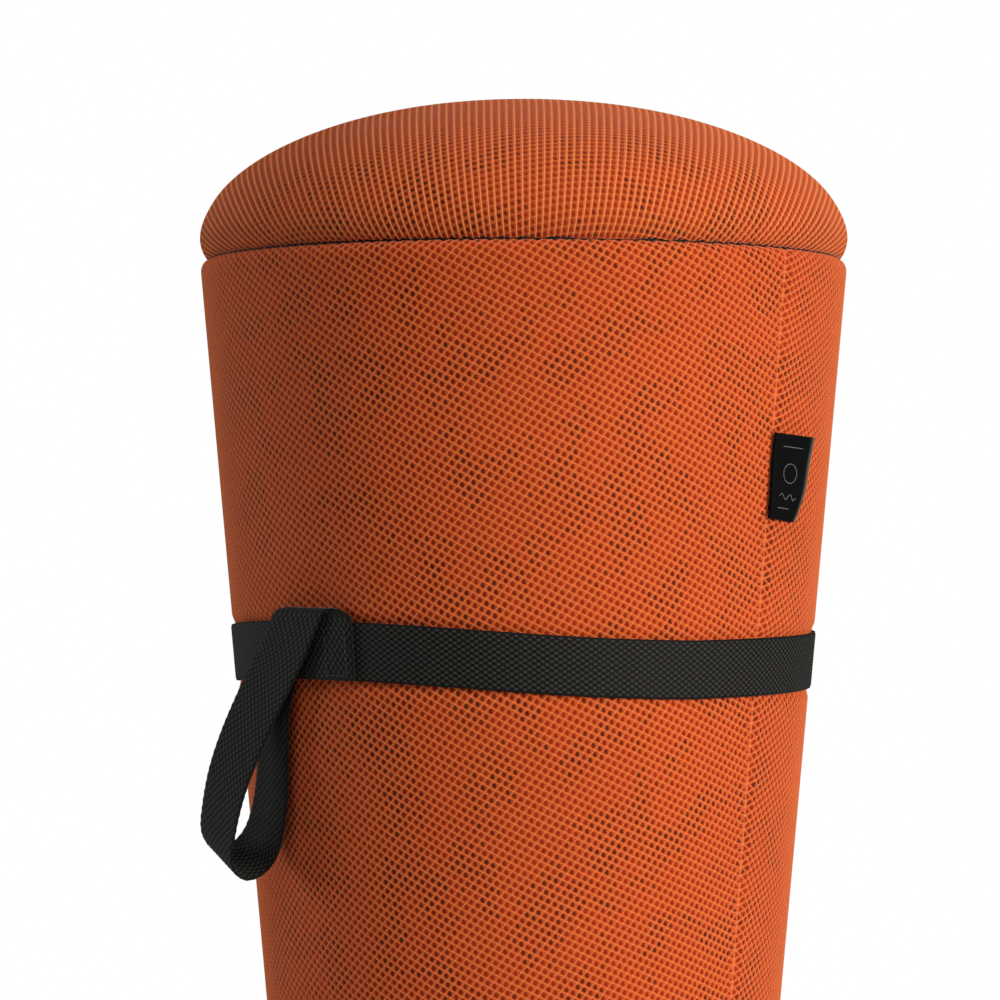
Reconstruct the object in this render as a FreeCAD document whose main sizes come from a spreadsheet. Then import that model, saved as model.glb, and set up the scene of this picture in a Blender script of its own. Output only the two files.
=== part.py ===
import FreeCAD, Part
import math
import os
import Sketcher
from FreeCAD import Placement, Rotation, Vector

# Upholstered active-sitting stool: a conical padded body on a convex rocker sole, a domed seat,
# a webbing belt with a carry loop, and a folded label in the one vertical seam of the cover.
# Millimetres, +Z up. The origin is the centre of the sole's flat floor zone; the carry loop is
# at -Y and the seam with the label is at +X.

NODE_FOLDER = "parts"

# Driving sizes: alias, value, meaning. Heights are above the floor.
DRIVING_SIZES = [
    ("cone_base", 126.1, "outer radius of the body cone where it would meet the floor"),
    ("cone_slope", 0.0904, "growth of that radius per mm of height"),
    ("cone_top", 546.3, "height where the straight cone ends"),
    ("notch_height", 552.8, "height of the groove between body and seat"),
    ("notch_radius", 171.6, "radius of that groove"),
    ("seat_radius", 176.0, "largest radius of the seat dome"),
    ("dome_rise", 74.0, "height of the dome above its widest line"),
    ("dome_level", 566.0, "height of the dome's widest line"),
    ("lip_round", 22.0, "radius of the seat's rounded lower lip"),
    ("cover_gauge", 4.0, "thickness of the spacer fabric"),
    ("foam_depth", 8.0, "thickness of the foam sleeve"),
    ("shell_wall", 4.0, "wall of the body shell"),
    ("fit_gap", 0.2, "free gap between nested pieces"),
    ("sole_curve", 360.0, "radius of the convex rocker sole"),
    ("sole_flat", 40.0, "radius of the flat centre that stands on the floor"),
    ("sole_gauge", 7.0, "thickness of the sole"),
    ("sole_rim", 127.0, "outer radius of the sole"),
    ("rim_gauge", 5.0, "thickness of the sole's upright rim"),
    ("tread_first", 52.0, "radius of the innermost tread groove"),
    ("tread_pitch", 15.0, "radial pitch of the tread grooves"),
    ("tread_width", 3.0, "width of a tread groove"),
    ("tread_depth", 2.0, "depth of a tread groove"),
    ("dish_top", 34.0, "top of the base dish and foot of the clamp ring"),
    ("dish_wall", 5.0, "wall of the base dish"),
    ("dish_bore", 101.0, "inner radius of the dish's solid rim"),
    ("hub_radius", 14.0, "radius of the dish's hub"),
    ("rib_gauge", 3.0, "thickness of a dish rib"),
    ("ballast_floor", 24.0, "height of the ribs that carry the ballast"),
    ("ballast_radius", 95.0, "radius of the ballast disc"),
    ("ballast_gauge", 16.0, "thickness of the ballast disc"),
    ("ballast_circle", 60.0, "radius of the ballast bolt circle"),
    ("ring_bore", 104.0, "inner radius of the clamp ring"),
    ("ring_top", 46.0, "shoulder of the clamp ring, under the cover's hem"),
    ("flange_foot", 50.0, "underside of the shell's lower flange"),
    ("flange_bore", 98.0, "inner radius of the lower flange"),
    ("flange_gauge", 6.0, "thickness of the lower flange"),
    ("screw_circle", 110.0, "radius of the base screw circle"),
    ("head_seat", 28.0, "height of the seats of the base screws' heads"),
    ("top_flange_foot", 541.0, "underside of the shell's upper flange"),
    ("top_flange_face", 549.0, "upper face of that flange"),
    ("top_flange_bore", 108.0, "inner radius of that flange"),
    ("seat_circle", 120.0, "radius of the seat bolt circle"),
    ("board_foot", 556.0, "underside of the seat board"),
    ("board_gauge", 12.0, "thickness of the seat board"),
    ("board_radius", 158.0, "radius of the seat board"),
    ("firm_gauge", 16.0, "thickness of the firm foam layer"),
    ("firm_radius", 163.0, "radius of the firm foam layer"),
    ("hem_inner", 152.0, "inner radius of the body cover's top hem"),
    ("seat_hem_inner", 135.0, "inner radius of the seat cover's hem"),
    ("staple_circle", 141.0, "radius of the row of staples"),
    ("web_width", 30.0, "width of the webbing"),
    ("web_gauge", 1.5, "thickness of the webbing"),
    ("belt_level", 337.0, "height of the belt's middle"),
    ("belt_lift", 9.4, "rise of the belt where the loop pulls on it"),
    ("lift_crest", 100.0, "half width of that rise's round crest"),
    ("lift_reach", 150.0, "half width of the whole rise"),
    ("belt_gap", 0.3, "distance of the belt from the cover"),
    ("tab_left", -12.0, "x of one edge of the sewn tab"),
    ("fold_left", -28.0, "x of one end of the rolled fold above the belt"),
    ("fold_right", 20.0, "x of its other end"),
    ("fold_top", 367.5, "top of the rolled fold"),
    ("hinge_height", 325.0, "height at which the loop swings"),
    ("hinge_gap", 1.5, "distance from that line to the web's ends on each side"),
    ("label_foot", 414.0, "lower edge of the label"),
    ("label_height", 44.0, "height of the label"),
    ("label_width", 28.0, "width of the label"),
    ("label_gauge", 1.2, "thickness of the folded label"),
    ("label_gap", 0.6, "distance of the label from the cover at its hinge"),
]

doc = FreeCAD.newDocument("active_stool")
sheet = doc.addObject("Spreadsheet::Sheet", "Sizes")
for row, (alias, value, meaning) in enumerate(DRIVING_SIZES, 1):
    sheet.set(f"A{row}", meaning)
    sheet.set(f"B{row}", str(value))
    sheet.setAlias(f"B{row}", alias)
doc.recompute()


class Dim:
    """A size with its number and the spreadsheet expression that gives it."""

    def __init__(self, value, text):
        self.value = float(value)
        self.text = text

    def __add__(self, other):
        other = dim(other)
        return Dim(self.value + other.value, f"({self.text} + {other.text})")

    def __sub__(self, other):
        other = dim(other)
        return Dim(self.value - other.value, f"({self.text} - {other.text})")

    def __mul__(self, other):
        other = dim(other)
        return Dim(self.value * other.value, f"{self.text} * {other.text}")

    def __truediv__(self, other):
        other = dim(other)
        return Dim(self.value / other.value, f"{self.text} / ({other.text})")

    def __rsub__(self, other):
        return dim(other) - self

    def __neg__(self):
        return 0 - self


def dim(size):
    return size if isinstance(size, Dim) else Dim(size, repr(float(size)))


def root(square):
    return Dim(math.sqrt(square.value), f"sqrt({square.text})")


S = {alias: Dim(value, f"Sizes.{alias}") for alias, value, _ in DRIVING_SIZES}


def cone_radius(height, inward=0.0):
    """Radius of the body cone at a height, less a distance inward."""
    return S["cone_base"] + S["cone_slope"] * height - inward


def rocker_height(radius, inward=0.0):
    """Height of the rocker's sphere at a radius, or of a sphere that far inside it."""
    centre = root(S["sole_curve"] * S["sole_curve"] - S["sole_flat"] * S["sole_flat"])
    inner = S["sole_curve"] - inward
    return centre - root(inner * inner - dim(radius) * radius)


def new_body(label):
    body = doc.addObject("PartDesign::Body", label)
    body.Label = label
    return body


def bind(thing, prop, size):
    thing.setExpression(prop, dim(size).text)


def new_sketch(body, name, role="XZ_Plane", offset=None):
    """A sketch on one of the body's origin planes, raised along its normal by offset."""
    sketch = body.newObject("Sketcher::SketchObject", name)
    plane = next(f for f in body.Origin.OriginFeatures if f.Role == role)
    sketch.AttachmentSupport = [(plane, "")]
    sketch.MapMode = "FlatFace"
    if offset is not None:
        sketch.AttachmentOffset = Placement(Vector(0, 0, dim(offset).value), Rotation())
        bind(sketch, "AttachmentOffset.Base.z", offset)
    return sketch


def pin_coordinate(sketch, kind, geometry, end, size):
    """Fix one coordinate of a point to an expression, or put the point on the axis."""
    if abs(size.value) < 1e-9:
        axis = -2 if kind == "DistanceX" else -1
        sketch.addConstraint(Sketcher.Constraint("PointOnObject", geometry, end, axis))
        return
    if size.value > 0:
        constraint = Sketcher.Constraint(kind, -1, 1, geometry, end, size.value)
    else:
        size = -size
        constraint = Sketcher.Constraint(kind, geometry, end, -1, 1, size.value)
    index = sketch.addConstraint(constraint)
    sketch.setExpression(f"Constraints[{index}]", size.text)


def arc_between(start, end, radius, left):
    """The short arc from start to end whose centre is on the left, or right, of the way."""
    chord = end - start
    middle = (start + end) * 0.5
    side = Vector(-chord.y, chord.x, 0).normalize() * (1 if left else -1)
    centre = middle + side * math.sqrt(radius**2 - (chord.Length / 2) ** 2)
    angles = [math.atan2(p.y - centre.y, p.x - centre.x) for p in (start, end)]
    if not left:
        angles.reverse()
    return Part.ArcOfCircle(Part.Circle(centre, Vector(0, 0, 1), radius), *angles)


def draw_outline(sketch, points):
    """A closed outline. Each point is (x, y), or (x, y, radius, left) when an arc leads to
    the next point, with its centre on the left of the way when left is True."""
    places = [(dim(p[0]), dim(p[1])) for p in points]
    vectors = [Vector(x.value, y.value, 0) for x, y in places]
    ends = []
    for k, point in enumerate(points):
        start, end = vectors[k], vectors[(k + 1) % len(points)]
        if len(point) == 2:
            index = sketch.addGeometry(Part.LineSegment(start, end), False)
            ends.append((index, 1, 2))
            continue
        radius, left = dim(point[2]), point[3]
        index = sketch.addGeometry(arc_between(start, end, radius.value, left), False)
        ends.append((index, 1, 2) if left else (index, 2, 1))
        held = sketch.addConstraint(Sketcher.Constraint("Radius", index, radius.value))
        sketch.setExpression(f"Constraints[{held}]", radius.text)
    for k, (index, start, end) in enumerate(ends):
        after, first, _ = ends[(k + 1) % len(ends)]
        sketch.addConstraint(Sketcher.Constraint("Coincident", index, end, after, first))
        pin_coordinate(sketch, "DistanceX", index, start, places[k][0])
        pin_coordinate(sketch, "DistanceY", index, start, places[k][1])


def draw_circle(sketch, x, y, radius):
    x, y, radius = dim(x), dim(y), dim(radius)
    circle = Part.Circle(Vector(x.value, y.value, 0), Vector(0, 0, 1), radius.value)
    index = sketch.addGeometry(circle, False)
    held = sketch.addConstraint(Sketcher.Constraint("Radius", index, radius.value))
    sketch.setExpression(f"Constraints[{held}]", radius.text)
    pin_coordinate(sketch, "DistanceX", index, 3, x)
    pin_coordinate(sketch, "DistanceY", index, 3, y)


def draw_hexagon(sketch, x, across_flats):
    """A hexagon with its centre on the sketch's x axis."""
    half = dim(across_flats) / 2
    corner = dim(across_flats) * (1 / math.sqrt(3))
    reach = [(1, 0), (0.5, 1), (-0.5, 1), (-1, 0), (-0.5, -1), (0.5, -1)]
    draw_outline(sketch, [(x + corner * a, half * b) for a, b in reach])


def revolve(body, name, points, groove=False, axis_at=None):
    """Turn an outline about Z, or about a vertical line at x = axis_at."""
    sketch = new_sketch(body, name + "_outline")
    draw_outline(sketch, points)
    axis = "V_Axis"
    if axis_at is not None:
        low, high = Vector(axis_at.value, 0, 0), Vector(axis_at.value, 1, 0)
        line = sketch.addGeometry(Part.LineSegment(low, high), True)
        for end, height in ((1, 0), (2, 1)):
            pin_coordinate(sketch, "DistanceX", line, end, axis_at)
            pin_coordinate(sketch, "DistanceY", line, end, dim(height))
        axis = "Axis0"
    kind = "PartDesign::Groove" if groove else "PartDesign::Revolution"
    turned = body.newObject(kind, name)
    turned.Profile = sketch
    turned.ReferenceAxis = (sketch, [axis])
    turned.Angle = 360
    return turned


def pad(body, name, sketch, length, down=False, midplane=False):
    block = body.newObject("PartDesign::Pad", name)
    block.Profile = sketch
    block.Length = dim(length).value
    bind(block, "Length", length)
    block.Reversed = down
    block.Midplane = midplane
    return block


def drill(body, name, x, radius, top, depth):
    """A round hole cut downward from a level, with its centre on the X axis."""
    sketch = new_sketch(body, name + "_circle", "XY_Plane", top)
    draw_circle(sketch, x, 0, radius)
    hole = body.newObject("PartDesign::Pocket", name)
    hole.Profile = sketch
    hole.Length = dim(depth).value
    bind(hole, "Length", depth)
    return hole


def round_pattern(body, name, features, count):
    """Repeat features about Z."""
    doc.recompute()
    pattern = body.newObject("PartDesign::PolarPattern", name)
    pattern.Originals = features
    z_axis = next(f for f in body.Origin.OriginFeatures if f.Role == "Z_Axis")
    pattern.Axis = (z_axis, [""])
    pattern.Angle = 360
    pattern.Occurrences = count
    body.Tip = pattern
    doc.recompute()
    return pattern


def ellipsoid(body, name, kind, rise, radius):
    """The upper half of the seat dome, or of one nested in it, added or subtracted."""
    cap = body.newObject(kind, name)
    plane = next(f for f in body.Origin.OriginFeatures if f.Role == "XY_Plane")
    cap.AttachmentSupport = [(plane, "")]
    cap.MapMode = "FlatFace"
    cap.AttachmentOffset = Placement(Vector(0, 0, S["dome_level"].value), Rotation())
    bind(cap, "AttachmentOffset.Base.z", S["dome_level"])
    for prop, size in (("Radius1", rise), ("Radius2", radius), ("Radius3", radius)):
        setattr(cap, prop, dim(size).value)
        bind(cap, prop, size)
    cap.Angle1 = 0
    cap.Angle2 = 90
    cap.Angle3 = 360
    return cap


# ---- base ----

BASE_SCREWS = 8
BALLAST_BOLTS = 4
SEAT_BOLTS = 6
DISH_RIBS = 8
TREAD_GROOVES = 4
STAPLES = 24
SCREW_SHANK = 2.4  # radii of the base screws and of the holes they pass through
SCREW_HEAD = 4.6
SCREW_HOLE = 2.75


def make_sole():
    """Convex rubber sole: a flat centre, a spherical tread and an upright rim."""
    body = new_body("rocker_sole")
    rim, wall = S["sole_rim"], S["rim_gauge"]
    shoulder_run, shoulder_rise, shoulder_round = 9.0, 10.5, 12.0
    inner_run, inner_rise = 8.0, 5.5
    edge, inner_edge = rim - shoulder_run, rim - wall - inner_run
    gauge = S["sole_gauge"]
    revolve(body, "sole", [
        (0, 0),
        (S["sole_flat"], 0, S["sole_curve"], True),
        (edge, rocker_height(edge), shoulder_round, True),
        (rim, rocker_height(edge) + shoulder_rise),
        (rim, S["dish_top"]),
        (rim - wall, S["dish_top"]),
        (rim - wall, rocker_height(inner_edge, gauge) + inner_rise),
        (inner_edge, rocker_height(inner_edge, gauge), S["sole_curve"] - gauge, False),
        (0, rocker_height(0, gauge)),
    ])
    doc.recompute()
    for k in range(TREAD_GROOVES):
        near = S["tread_first"] + S["tread_pitch"] * k
        far = near + S["tread_width"]
        roof = rocker_height(near) + S["tread_depth"]
        foot = rocker_height(near) - 1.0
        revolve(body, f"tread_{k + 1}", [(near, foot), (far, foot), (far, roof), (near, roof)],
                groove=True)
    doc.recompute()


def make_dish():
    """Rigid dish in the sole: hub, ribs, four bolt bosses and a solid rim."""
    body = new_body("base_dish")
    outer = S["sole_gauge"] + S["fit_gap"]
    inner = outer + S["dish_wall"]
    middle = outer + S["dish_wall"] / 2
    rim = S["sole_rim"] - S["rim_gauge"] - S["fit_gap"]
    corner_run, corner_rise = 8.0, 5.7
    edge, floor, hub = rim - corner_run, S["ballast_floor"], S["hub_radius"]
    bore = S["dish_bore"]
    revolve(body, "dish", [
        (0, rocker_height(0, outer), S["sole_curve"] - outer, True),
        (edge, rocker_height(edge, outer)),
        (rim, rocker_height(edge, outer) + corner_rise),
        (rim, S["dish_top"]),
        (bore, S["dish_top"]),
        (bore, rocker_height(bore, inner), S["sole_curve"] - inner, False),
        (hub, rocker_height(hub, inner)),
        (hub, floor),
        (0, floor),
    ])
    rib_sketch = new_sketch(body, "rib_outline")
    rib_start, rib_end = hub - 1.0, bore - 0.5
    draw_outline(rib_sketch, [
        (rib_start, rocker_height(rib_start, middle), S["sole_curve"] - middle, True),
        (rib_end, rocker_height(rib_end, middle)),
        (rib_end, floor),
        (rib_start, floor),
    ])
    rib = pad(body, "rib", rib_sketch, S["rib_gauge"], midplane=True)
    round_pattern(body, "ribs", [rib], DISH_RIBS)
    boss_sketch = new_sketch(body, "bolt_boss_circle", "XY_Plane", floor)
    boss_radius, boss_depth, pilot_depth = 8.0, 12.0, 11.0
    draw_circle(boss_sketch, S["ballast_circle"], 0, boss_radius)
    boss = pad(body, "bolt_boss", boss_sketch, boss_depth, down=True)
    round_pattern(body, "bolt_bosses", [boss], BALLAST_BOLTS)
    pilot = drill(body, "pilot", S["ballast_circle"], 4.0, floor, pilot_depth)
    round_pattern(body, "pilots", [pilot], BALLAST_BOLTS)
    through = drill(body, "screw_hole", S["screw_circle"], SCREW_HOLE, S["dish_top"], 14.0)
    sunk = drill(body, "head_pocket", S["screw_circle"], SCREW_HEAD + 0.6, S["head_seat"], 9.0)
    round_pattern(body, "screw_holes", [through, sunk], BASE_SCREWS)


def make_ballast():
    """Iron disc with chamfered edges, held down by four bolts with washers."""
    disc = new_body("ballast_disc")
    low, high = S["ballast_floor"], S["ballast_floor"] + S["ballast_gauge"]
    edge, bore, chamfer = S["ballast_radius"], 10.0, 1.5
    revolve(disc, "disc", [
        (bore, low),
        (edge - chamfer, low),
        (edge, low + chamfer),
        (edge, high - chamfer),
        (edge - chamfer, high),
        (bore, high),
    ])
    hole = drill(disc, "bolt_hole", S["ballast_circle"], 4.3, high, S["ballast_gauge"])
    round_pattern(disc, "bolt_holes", [hole], BALLAST_BOLTS)
    washer_gauge = 1.6
    make_washers("ballast_washers", S["ballast_circle"], high, washer_gauge, 4.2, 8.4,
                 BALLAST_BOLTS)
    bolts = new_body("ballast_bolts")
    seat = high + washer_gauge
    head_sketch = new_sketch(bolts, "head_hexagon", "XY_Plane", seat)
    draw_hexagon(head_sketch, S["ballast_circle"], 13.0)
    head = pad(bolts, "head", head_sketch, 5.3)
    shank_sketch = new_sketch(bolts, "shank_circle", "XY_Plane", seat)
    draw_circle(shank_sketch, S["ballast_circle"], 0, 3.95)
    shank = pad(bolts, "shank", shank_sketch, seat - S["ballast_floor"] + 10.0, down=True)
    round_pattern(bolts, "bolts", [head, shank], BALLAST_BOLTS)


def make_washers(label, circle, foot, gauge, bore, rim, count):
    body = new_body(label)
    sketch = new_sketch(body, "washer_circles", "XY_Plane", foot)
    draw_circle(sketch, circle, 0, rim)
    draw_circle(sketch, circle, 0, bore)
    washer = pad(body, "washer", sketch, gauge)
    round_pattern(body, "washers", [washer], count)


def make_clamp_ring():
    """Visible lower rim; its raised inner lip carries the shell, its shoulder pinches the hem."""
    body = new_body("clamp_ring")
    low, high, lip = S["dish_top"], S["ring_top"], S["ring_bore"] + 13.0
    inset = 0.8
    revolve(body, "ring", [
        (S["ring_bore"], low),
        (cone_radius(low, inset) - 2.0, low, 2.3, True),
        (cone_radius(low + 2.0, inset), low + 2.0),
        (cone_radius(high - 1.0, inset), high - 1.0),
        (cone_radius(high, inset) - 1.0, high),
        (lip, high),
        (lip, S["flange_foot"]),
        (S["ring_bore"], S["flange_foot"]),
    ])
    hole = drill(body, "screw_hole", S["screw_circle"], SCREW_HOLE, S["flange_foot"], 16.0)
    round_pattern(body, "screw_holes", [hole], BASE_SCREWS)


def make_base_screws():
    """Pan-head screws from under the dish rim, through the ring, into the shell's flange."""
    body = new_body("base_screws")
    axis, seat = S["screw_circle"], S["head_seat"]
    head_height, head_chamfer, length, point = 3.6, 1.4, 34.0, 1.5
    screw = revolve(body, "screw", [
        (axis, seat - head_height),
        (axis + SCREW_HEAD - head_chamfer, seat - head_height),
        (axis + SCREW_HEAD, seat - head_height + head_chamfer),
        (axis + SCREW_HEAD, seat),
        (axis + SCREW_SHANK, seat),
        (axis + SCREW_SHANK, seat + length),
        (axis, seat + length + point),
    ], axis_at=axis)
    round_pattern(body, "screws", [screw], BASE_SCREWS)


# ---- body ----

def make_shell():
    """Load-bearing cone with a screwed flange at each end."""
    body = new_body("body_shell")
    outside = S["cover_gauge"] + S["foam_depth"] + S["fit_gap"]
    inside = outside + S["shell_wall"]
    low, low_top = S["flange_foot"], S["flange_foot"] + S["flange_gauge"]
    high_foot, high = S["top_flange_foot"], S["top_flange_face"]
    revolve(body, "shell", [
        (S["flange_bore"], low),
        (cone_radius(low, outside), low),
        (cone_radius(high, outside), high),
        (S["top_flange_bore"], high),
        (S["top_flange_bore"], high_foot),
        (cone_radius(high_foot, inside), high_foot),
        (cone_radius(low_top, inside), low_top),
        (S["flange_bore"], low_top),
    ])
    low_sketch = new_sketch(body, "low_boss_circle", "XY_Plane", low_top - 1.0)
    draw_circle(low_sketch, S["screw_circle"], 0, 6.5)
    low_boss = pad(body, "low_boss", low_sketch, 13.0)
    round_pattern(body, "low_bosses", [low_boss], BASE_SCREWS)
    pilot = drill(body, "pilot", S["screw_circle"], 2.45, low_top + 10.0, 16.0)
    round_pattern(body, "pilots", [pilot], BASE_SCREWS)
    top_sketch = new_sketch(body, "top_boss_circle", "XY_Plane", high - 1.0)
    draw_circle(top_sketch, S["seat_circle"], 0, 9.0)
    top_boss = pad(body, "top_boss", top_sketch, S["board_foot"] - high + 1.0)
    round_pattern(body, "top_bosses", [top_boss], SEAT_BOLTS)
    through = drill(body, "seat_hole", S["seat_circle"], 3.3, S["board_foot"], 16.0)
    round_pattern(body, "seat_holes", [through], SEAT_BOLTS)


def make_foam():
    """Foam sleeve between the shell and the cover."""
    body = new_body("body_foam")
    outside, inside = S["cover_gauge"] + 0.7, S["cover_gauge"] + S["foam_depth"]
    low, high = S["flange_foot"] + S["fit_gap"], S["top_flange_face"] - S["fit_gap"]
    revolve(body, "sleeve", [
        (cone_radius(low, inside), low),
        (cone_radius(low, outside), low),
        (cone_radius(high - 3.0, outside), high - 3.0, 4.0, True),
        (cone_radius(high, outside) - 3.2, high),
        (cone_radius(high, inside), high),
    ])


def make_cover():
    """Wrap-around spacer fabric with both hems turned in."""
    body = new_body("body_cover")
    gauge, low, high = S["cover_gauge"], S["ring_top"], S["cone_top"]
    low_hem = S["ring_bore"] + 16.0
    flange = S["top_flange_face"]
    revolve(body, "wrap", [
        (low_hem, low),
        (cone_radius(low) - 2.5, low, 2.9, True),
        (cone_radius(low + 2.5), low + 2.5),
        (cone_radius(high), high, 6.6, True),
        (S["notch_radius"] - 2.6, S["notch_height"]),
        (S["hem_inner"], S["notch_height"]),
        (S["hem_inner"], flange),
        (cone_radius(high, gauge) - 2.5, flange, 2.8, False),
        (cone_radius(high, gauge), high),
        (cone_radius(low + gauge, gauge), low + gauge),
        (low_hem, low + gauge),
    ])


def make_seam_tape():
    """Flat tape that backs the cover's closing seam."""
    body = new_body("seam_tape")
    low, high = S["flange_foot"] + 5.0, S["cone_top"] - 6.0
    outer, inner = S["cover_gauge"] + 0.15, S["cover_gauge"] + 0.6
    sketch = new_sketch(body, "tape_outline")
    draw_outline(sketch, [
        (cone_radius(low, inner), low),
        (cone_radius(low, outer), low),
        (cone_radius(high, outer), high),
        (cone_radius(high, inner), high),
    ])
    pad(body, "tape", sketch, 12.0, midplane=True)


def make_hem_cord(label, circle, height, thickness):
    cord = doc.addObject("Part::Torus", label)
    cord.Label = label
    bind(cord, "Radius1", circle)
    bind(cord, "Radius2", dim(thickness) / 2)
    bind(cord, "Placement.Base.z", height)


# ---- seat ----

def make_board():
    body = new_body("seat_board")
    low, high = S["board_foot"], S["board_foot"] + S["board_gauge"]
    edge = S["board_radius"]
    revolve(body, "board", [
        (0, low),
        (edge - 1.0, low),
        (edge, low + 1.0),
        (edge, high - 3.0),
        (edge - 3.0, high),
        (0, high),
    ])
    barrel = drill(body, "nut_hole", S["seat_circle"], 4.3, high, S["board_gauge"])
    sunk = drill(body, "nut_sink", S["seat_circle"], 10.2, high, 1.6)
    round_pattern(body, "nut_holes", [barrel, sunk], SEAT_BOLTS)


def make_seat_fixings():
    """Tee nuts in the board, and bolts with washers from under the upper flange."""
    axis, board_top = S["seat_circle"], S["board_foot"] + S["board_gauge"]
    nuts = new_body("seat_tee_nuts")
    nut = revolve(nuts, "nut", [
        (axis + 3.0, S["board_foot"] + 0.5),
        (axis + 4.2, S["board_foot"] + 0.5),
        (axis + 4.2, board_top - 1.6),
        (axis + 10.0, board_top - 1.6),
        (axis + 10.0, board_top - 0.1),
        (axis + 3.0, board_top - 0.1),
    ], axis_at=axis)
    round_pattern(nuts, "nuts", [nut], SEAT_BOLTS)
    washer_gauge = 1.6
    seat = S["top_flange_foot"] - washer_gauge
    make_washers("seat_washers", axis, seat, washer_gauge, 3.2, 8.0, SEAT_BOLTS)
    bolts = new_body("seat_bolts")
    head_sketch = new_sketch(bolts, "head_hexagon", "XY_Plane", seat)
    draw_hexagon(head_sketch, axis, 10.0)
    head = pad(bolts, "head", head_sketch, 4.0, down=True)
    shank_sketch = new_sketch(bolts, "shank_circle", "XY_Plane", seat)
    draw_circle(shank_sketch, axis, 0, 2.95)
    shank = pad(bolts, "shank", shank_sketch, board_top - seat - 2.0)
    round_pattern(bolts, "bolts", [head, shank], SEAT_BOLTS)


def lip_outline(inward, foot):
    """Corners of the round lip below the dome's widest line, for a surface inward of it."""
    centre = S["seat_radius"] - S["lip_round"]
    radius = S["lip_round"] - inward
    drop = S["dome_level"] - foot
    lowest = centre + root(radius * radius - drop * drop)
    return [(lowest, foot, radius, True), (S["seat_radius"] - inward, S["dome_level"])]


def make_seat_foams():
    """A firm disc on the board, and a moulded soft dome that also wraps both edges."""
    firm = new_body("seat_foam_firm")
    low = S["board_foot"] + S["board_gauge"]
    high = low + S["firm_gauge"]
    edge = S["firm_radius"]
    revolve(firm, "firm", [(0, low), (edge, low), (edge, high - 4.0), (edge - 4.0, high), (0, high)])
    soft = new_body("seat_foam_soft")
    inset = S["cover_gauge"] + S["fit_gap"]
    foot = S["board_foot"] + S["fit_gap"]
    ellipsoid(soft, "dome", "PartDesign::AdditiveEllipsoid",
              S["dome_rise"] - inset, S["seat_radius"] - inset)
    doc.recompute()
    revolve(soft, "skirt", [(0, foot), *lip_outline(inset, foot), (0, S["dome_level"])])
    doc.recompute()
    gap = S["fit_gap"]
    revolve(soft, "nest", [
        (0, foot - 5.0),
        (S["board_radius"] + gap, foot - 5.0),
        (S["board_radius"] + gap, low),
        (edge + gap, low),
        (edge + gap, high - 4.0 + gap),
        (edge - 4.0 + gap, high + gap),
        (0, high + gap),
    ], groove=True)
    doc.recompute()


def make_seat_cover():
    """Domed cover: stretched over the foam and turned in under the board."""
    body = new_body("seat_cover")
    gauge, foot = S["cover_gauge"], S["notch_height"]
    ellipsoid(body, "dome", "PartDesign::AdditiveEllipsoid", S["dome_rise"], S["seat_radius"])
    doc.recompute()
    revolve(body, "lip", [(0, foot), *lip_outline(dim(0), foot), (0, S["dome_level"])])
    doc.recompute()
    ellipsoid(body, "dome_inside", "PartDesign::SubtractiveEllipsoid",
              S["dome_rise"] - gauge, S["seat_radius"] - gauge)
    doc.recompute()
    board = S["board_foot"]
    revolve(body, "lip_inside", [
        (0, foot - 5.0),
        (S["seat_hem_inner"], foot - 5.0),
        (S["seat_hem_inner"], board),
        *lip_outline(gauge, board),
        (0, S["dome_level"]),
    ], groove=True)
    doc.recompute()


def make_staples():
    """Staples that hold the seat cover's hem to the underside of the board."""
    body = new_body("seat_staples")
    crown, wire, half, leg = S["notch_height"] - 0.6, 0.7, 5.0, S["board_foot"] + 6.0
    sketch = new_sketch(body, "staple_outline", "YZ_Plane", S["staple_circle"] - 0.6)
    draw_outline(sketch, [
        (-half, crown),
        (half, crown),
        (half, leg),
        (half - wire, leg),
        (half - wire, crown + wire),
        (-half + wire, crown + wire),
        (-half + wire, leg),
        (-half, leg),
    ])
    staple = pad(body, "staple", sketch, 1.2)
    round_pattern(body, "staples", [staple], STAPLES)


# ---- webbing ----

def cone_band(name, inner_gap, outer_gap, low, high):
    """A conical band standing between two distances from the cover's surface."""
    cones = []
    for part, gap in (("outer", outer_gap), ("inner", inner_gap)):
        cone = doc.addObject("Part::Cone", f"{name}_{part}")
        bind(cone, "Radius1", cone_radius(low) + gap)
        bind(cone, "Radius2", cone_radius(high) + gap)
        bind(cone, "Height", high - low)
        bind(cone, "Placement.Base.z", low)
        cones.append(cone)
    band = doc.addObject("Part::Cut", name)
    band.Base, band.Tool = cones
    return band


def join(kind, name, base, tool):
    made = doc.addObject(kind, name)
    made.Base, made.Tool = base, tool
    return made


def make_box(name, low, high):
    """A box between two corners, each a triple of sizes."""
    block = doc.addObject("Part::Box", name)
    for prop, axis, a, b in zip(("Length", "Width", "Height"), "xyz", low, high):
        bind(block, prop, dim(b) - a)
        bind(block, f"Placement.Base.{axis}", a)
    return block


REACH = 220.0  # past the stool's surface on every side
FRONT = -100.0  # a Y well inside the front surface, so that a box reaches only the front


def belt_foot():
    """Lower edge of the belt at the loop, where its rise is highest."""
    return S["belt_level"] + S["belt_lift"] - S["web_width"] / 2


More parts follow.
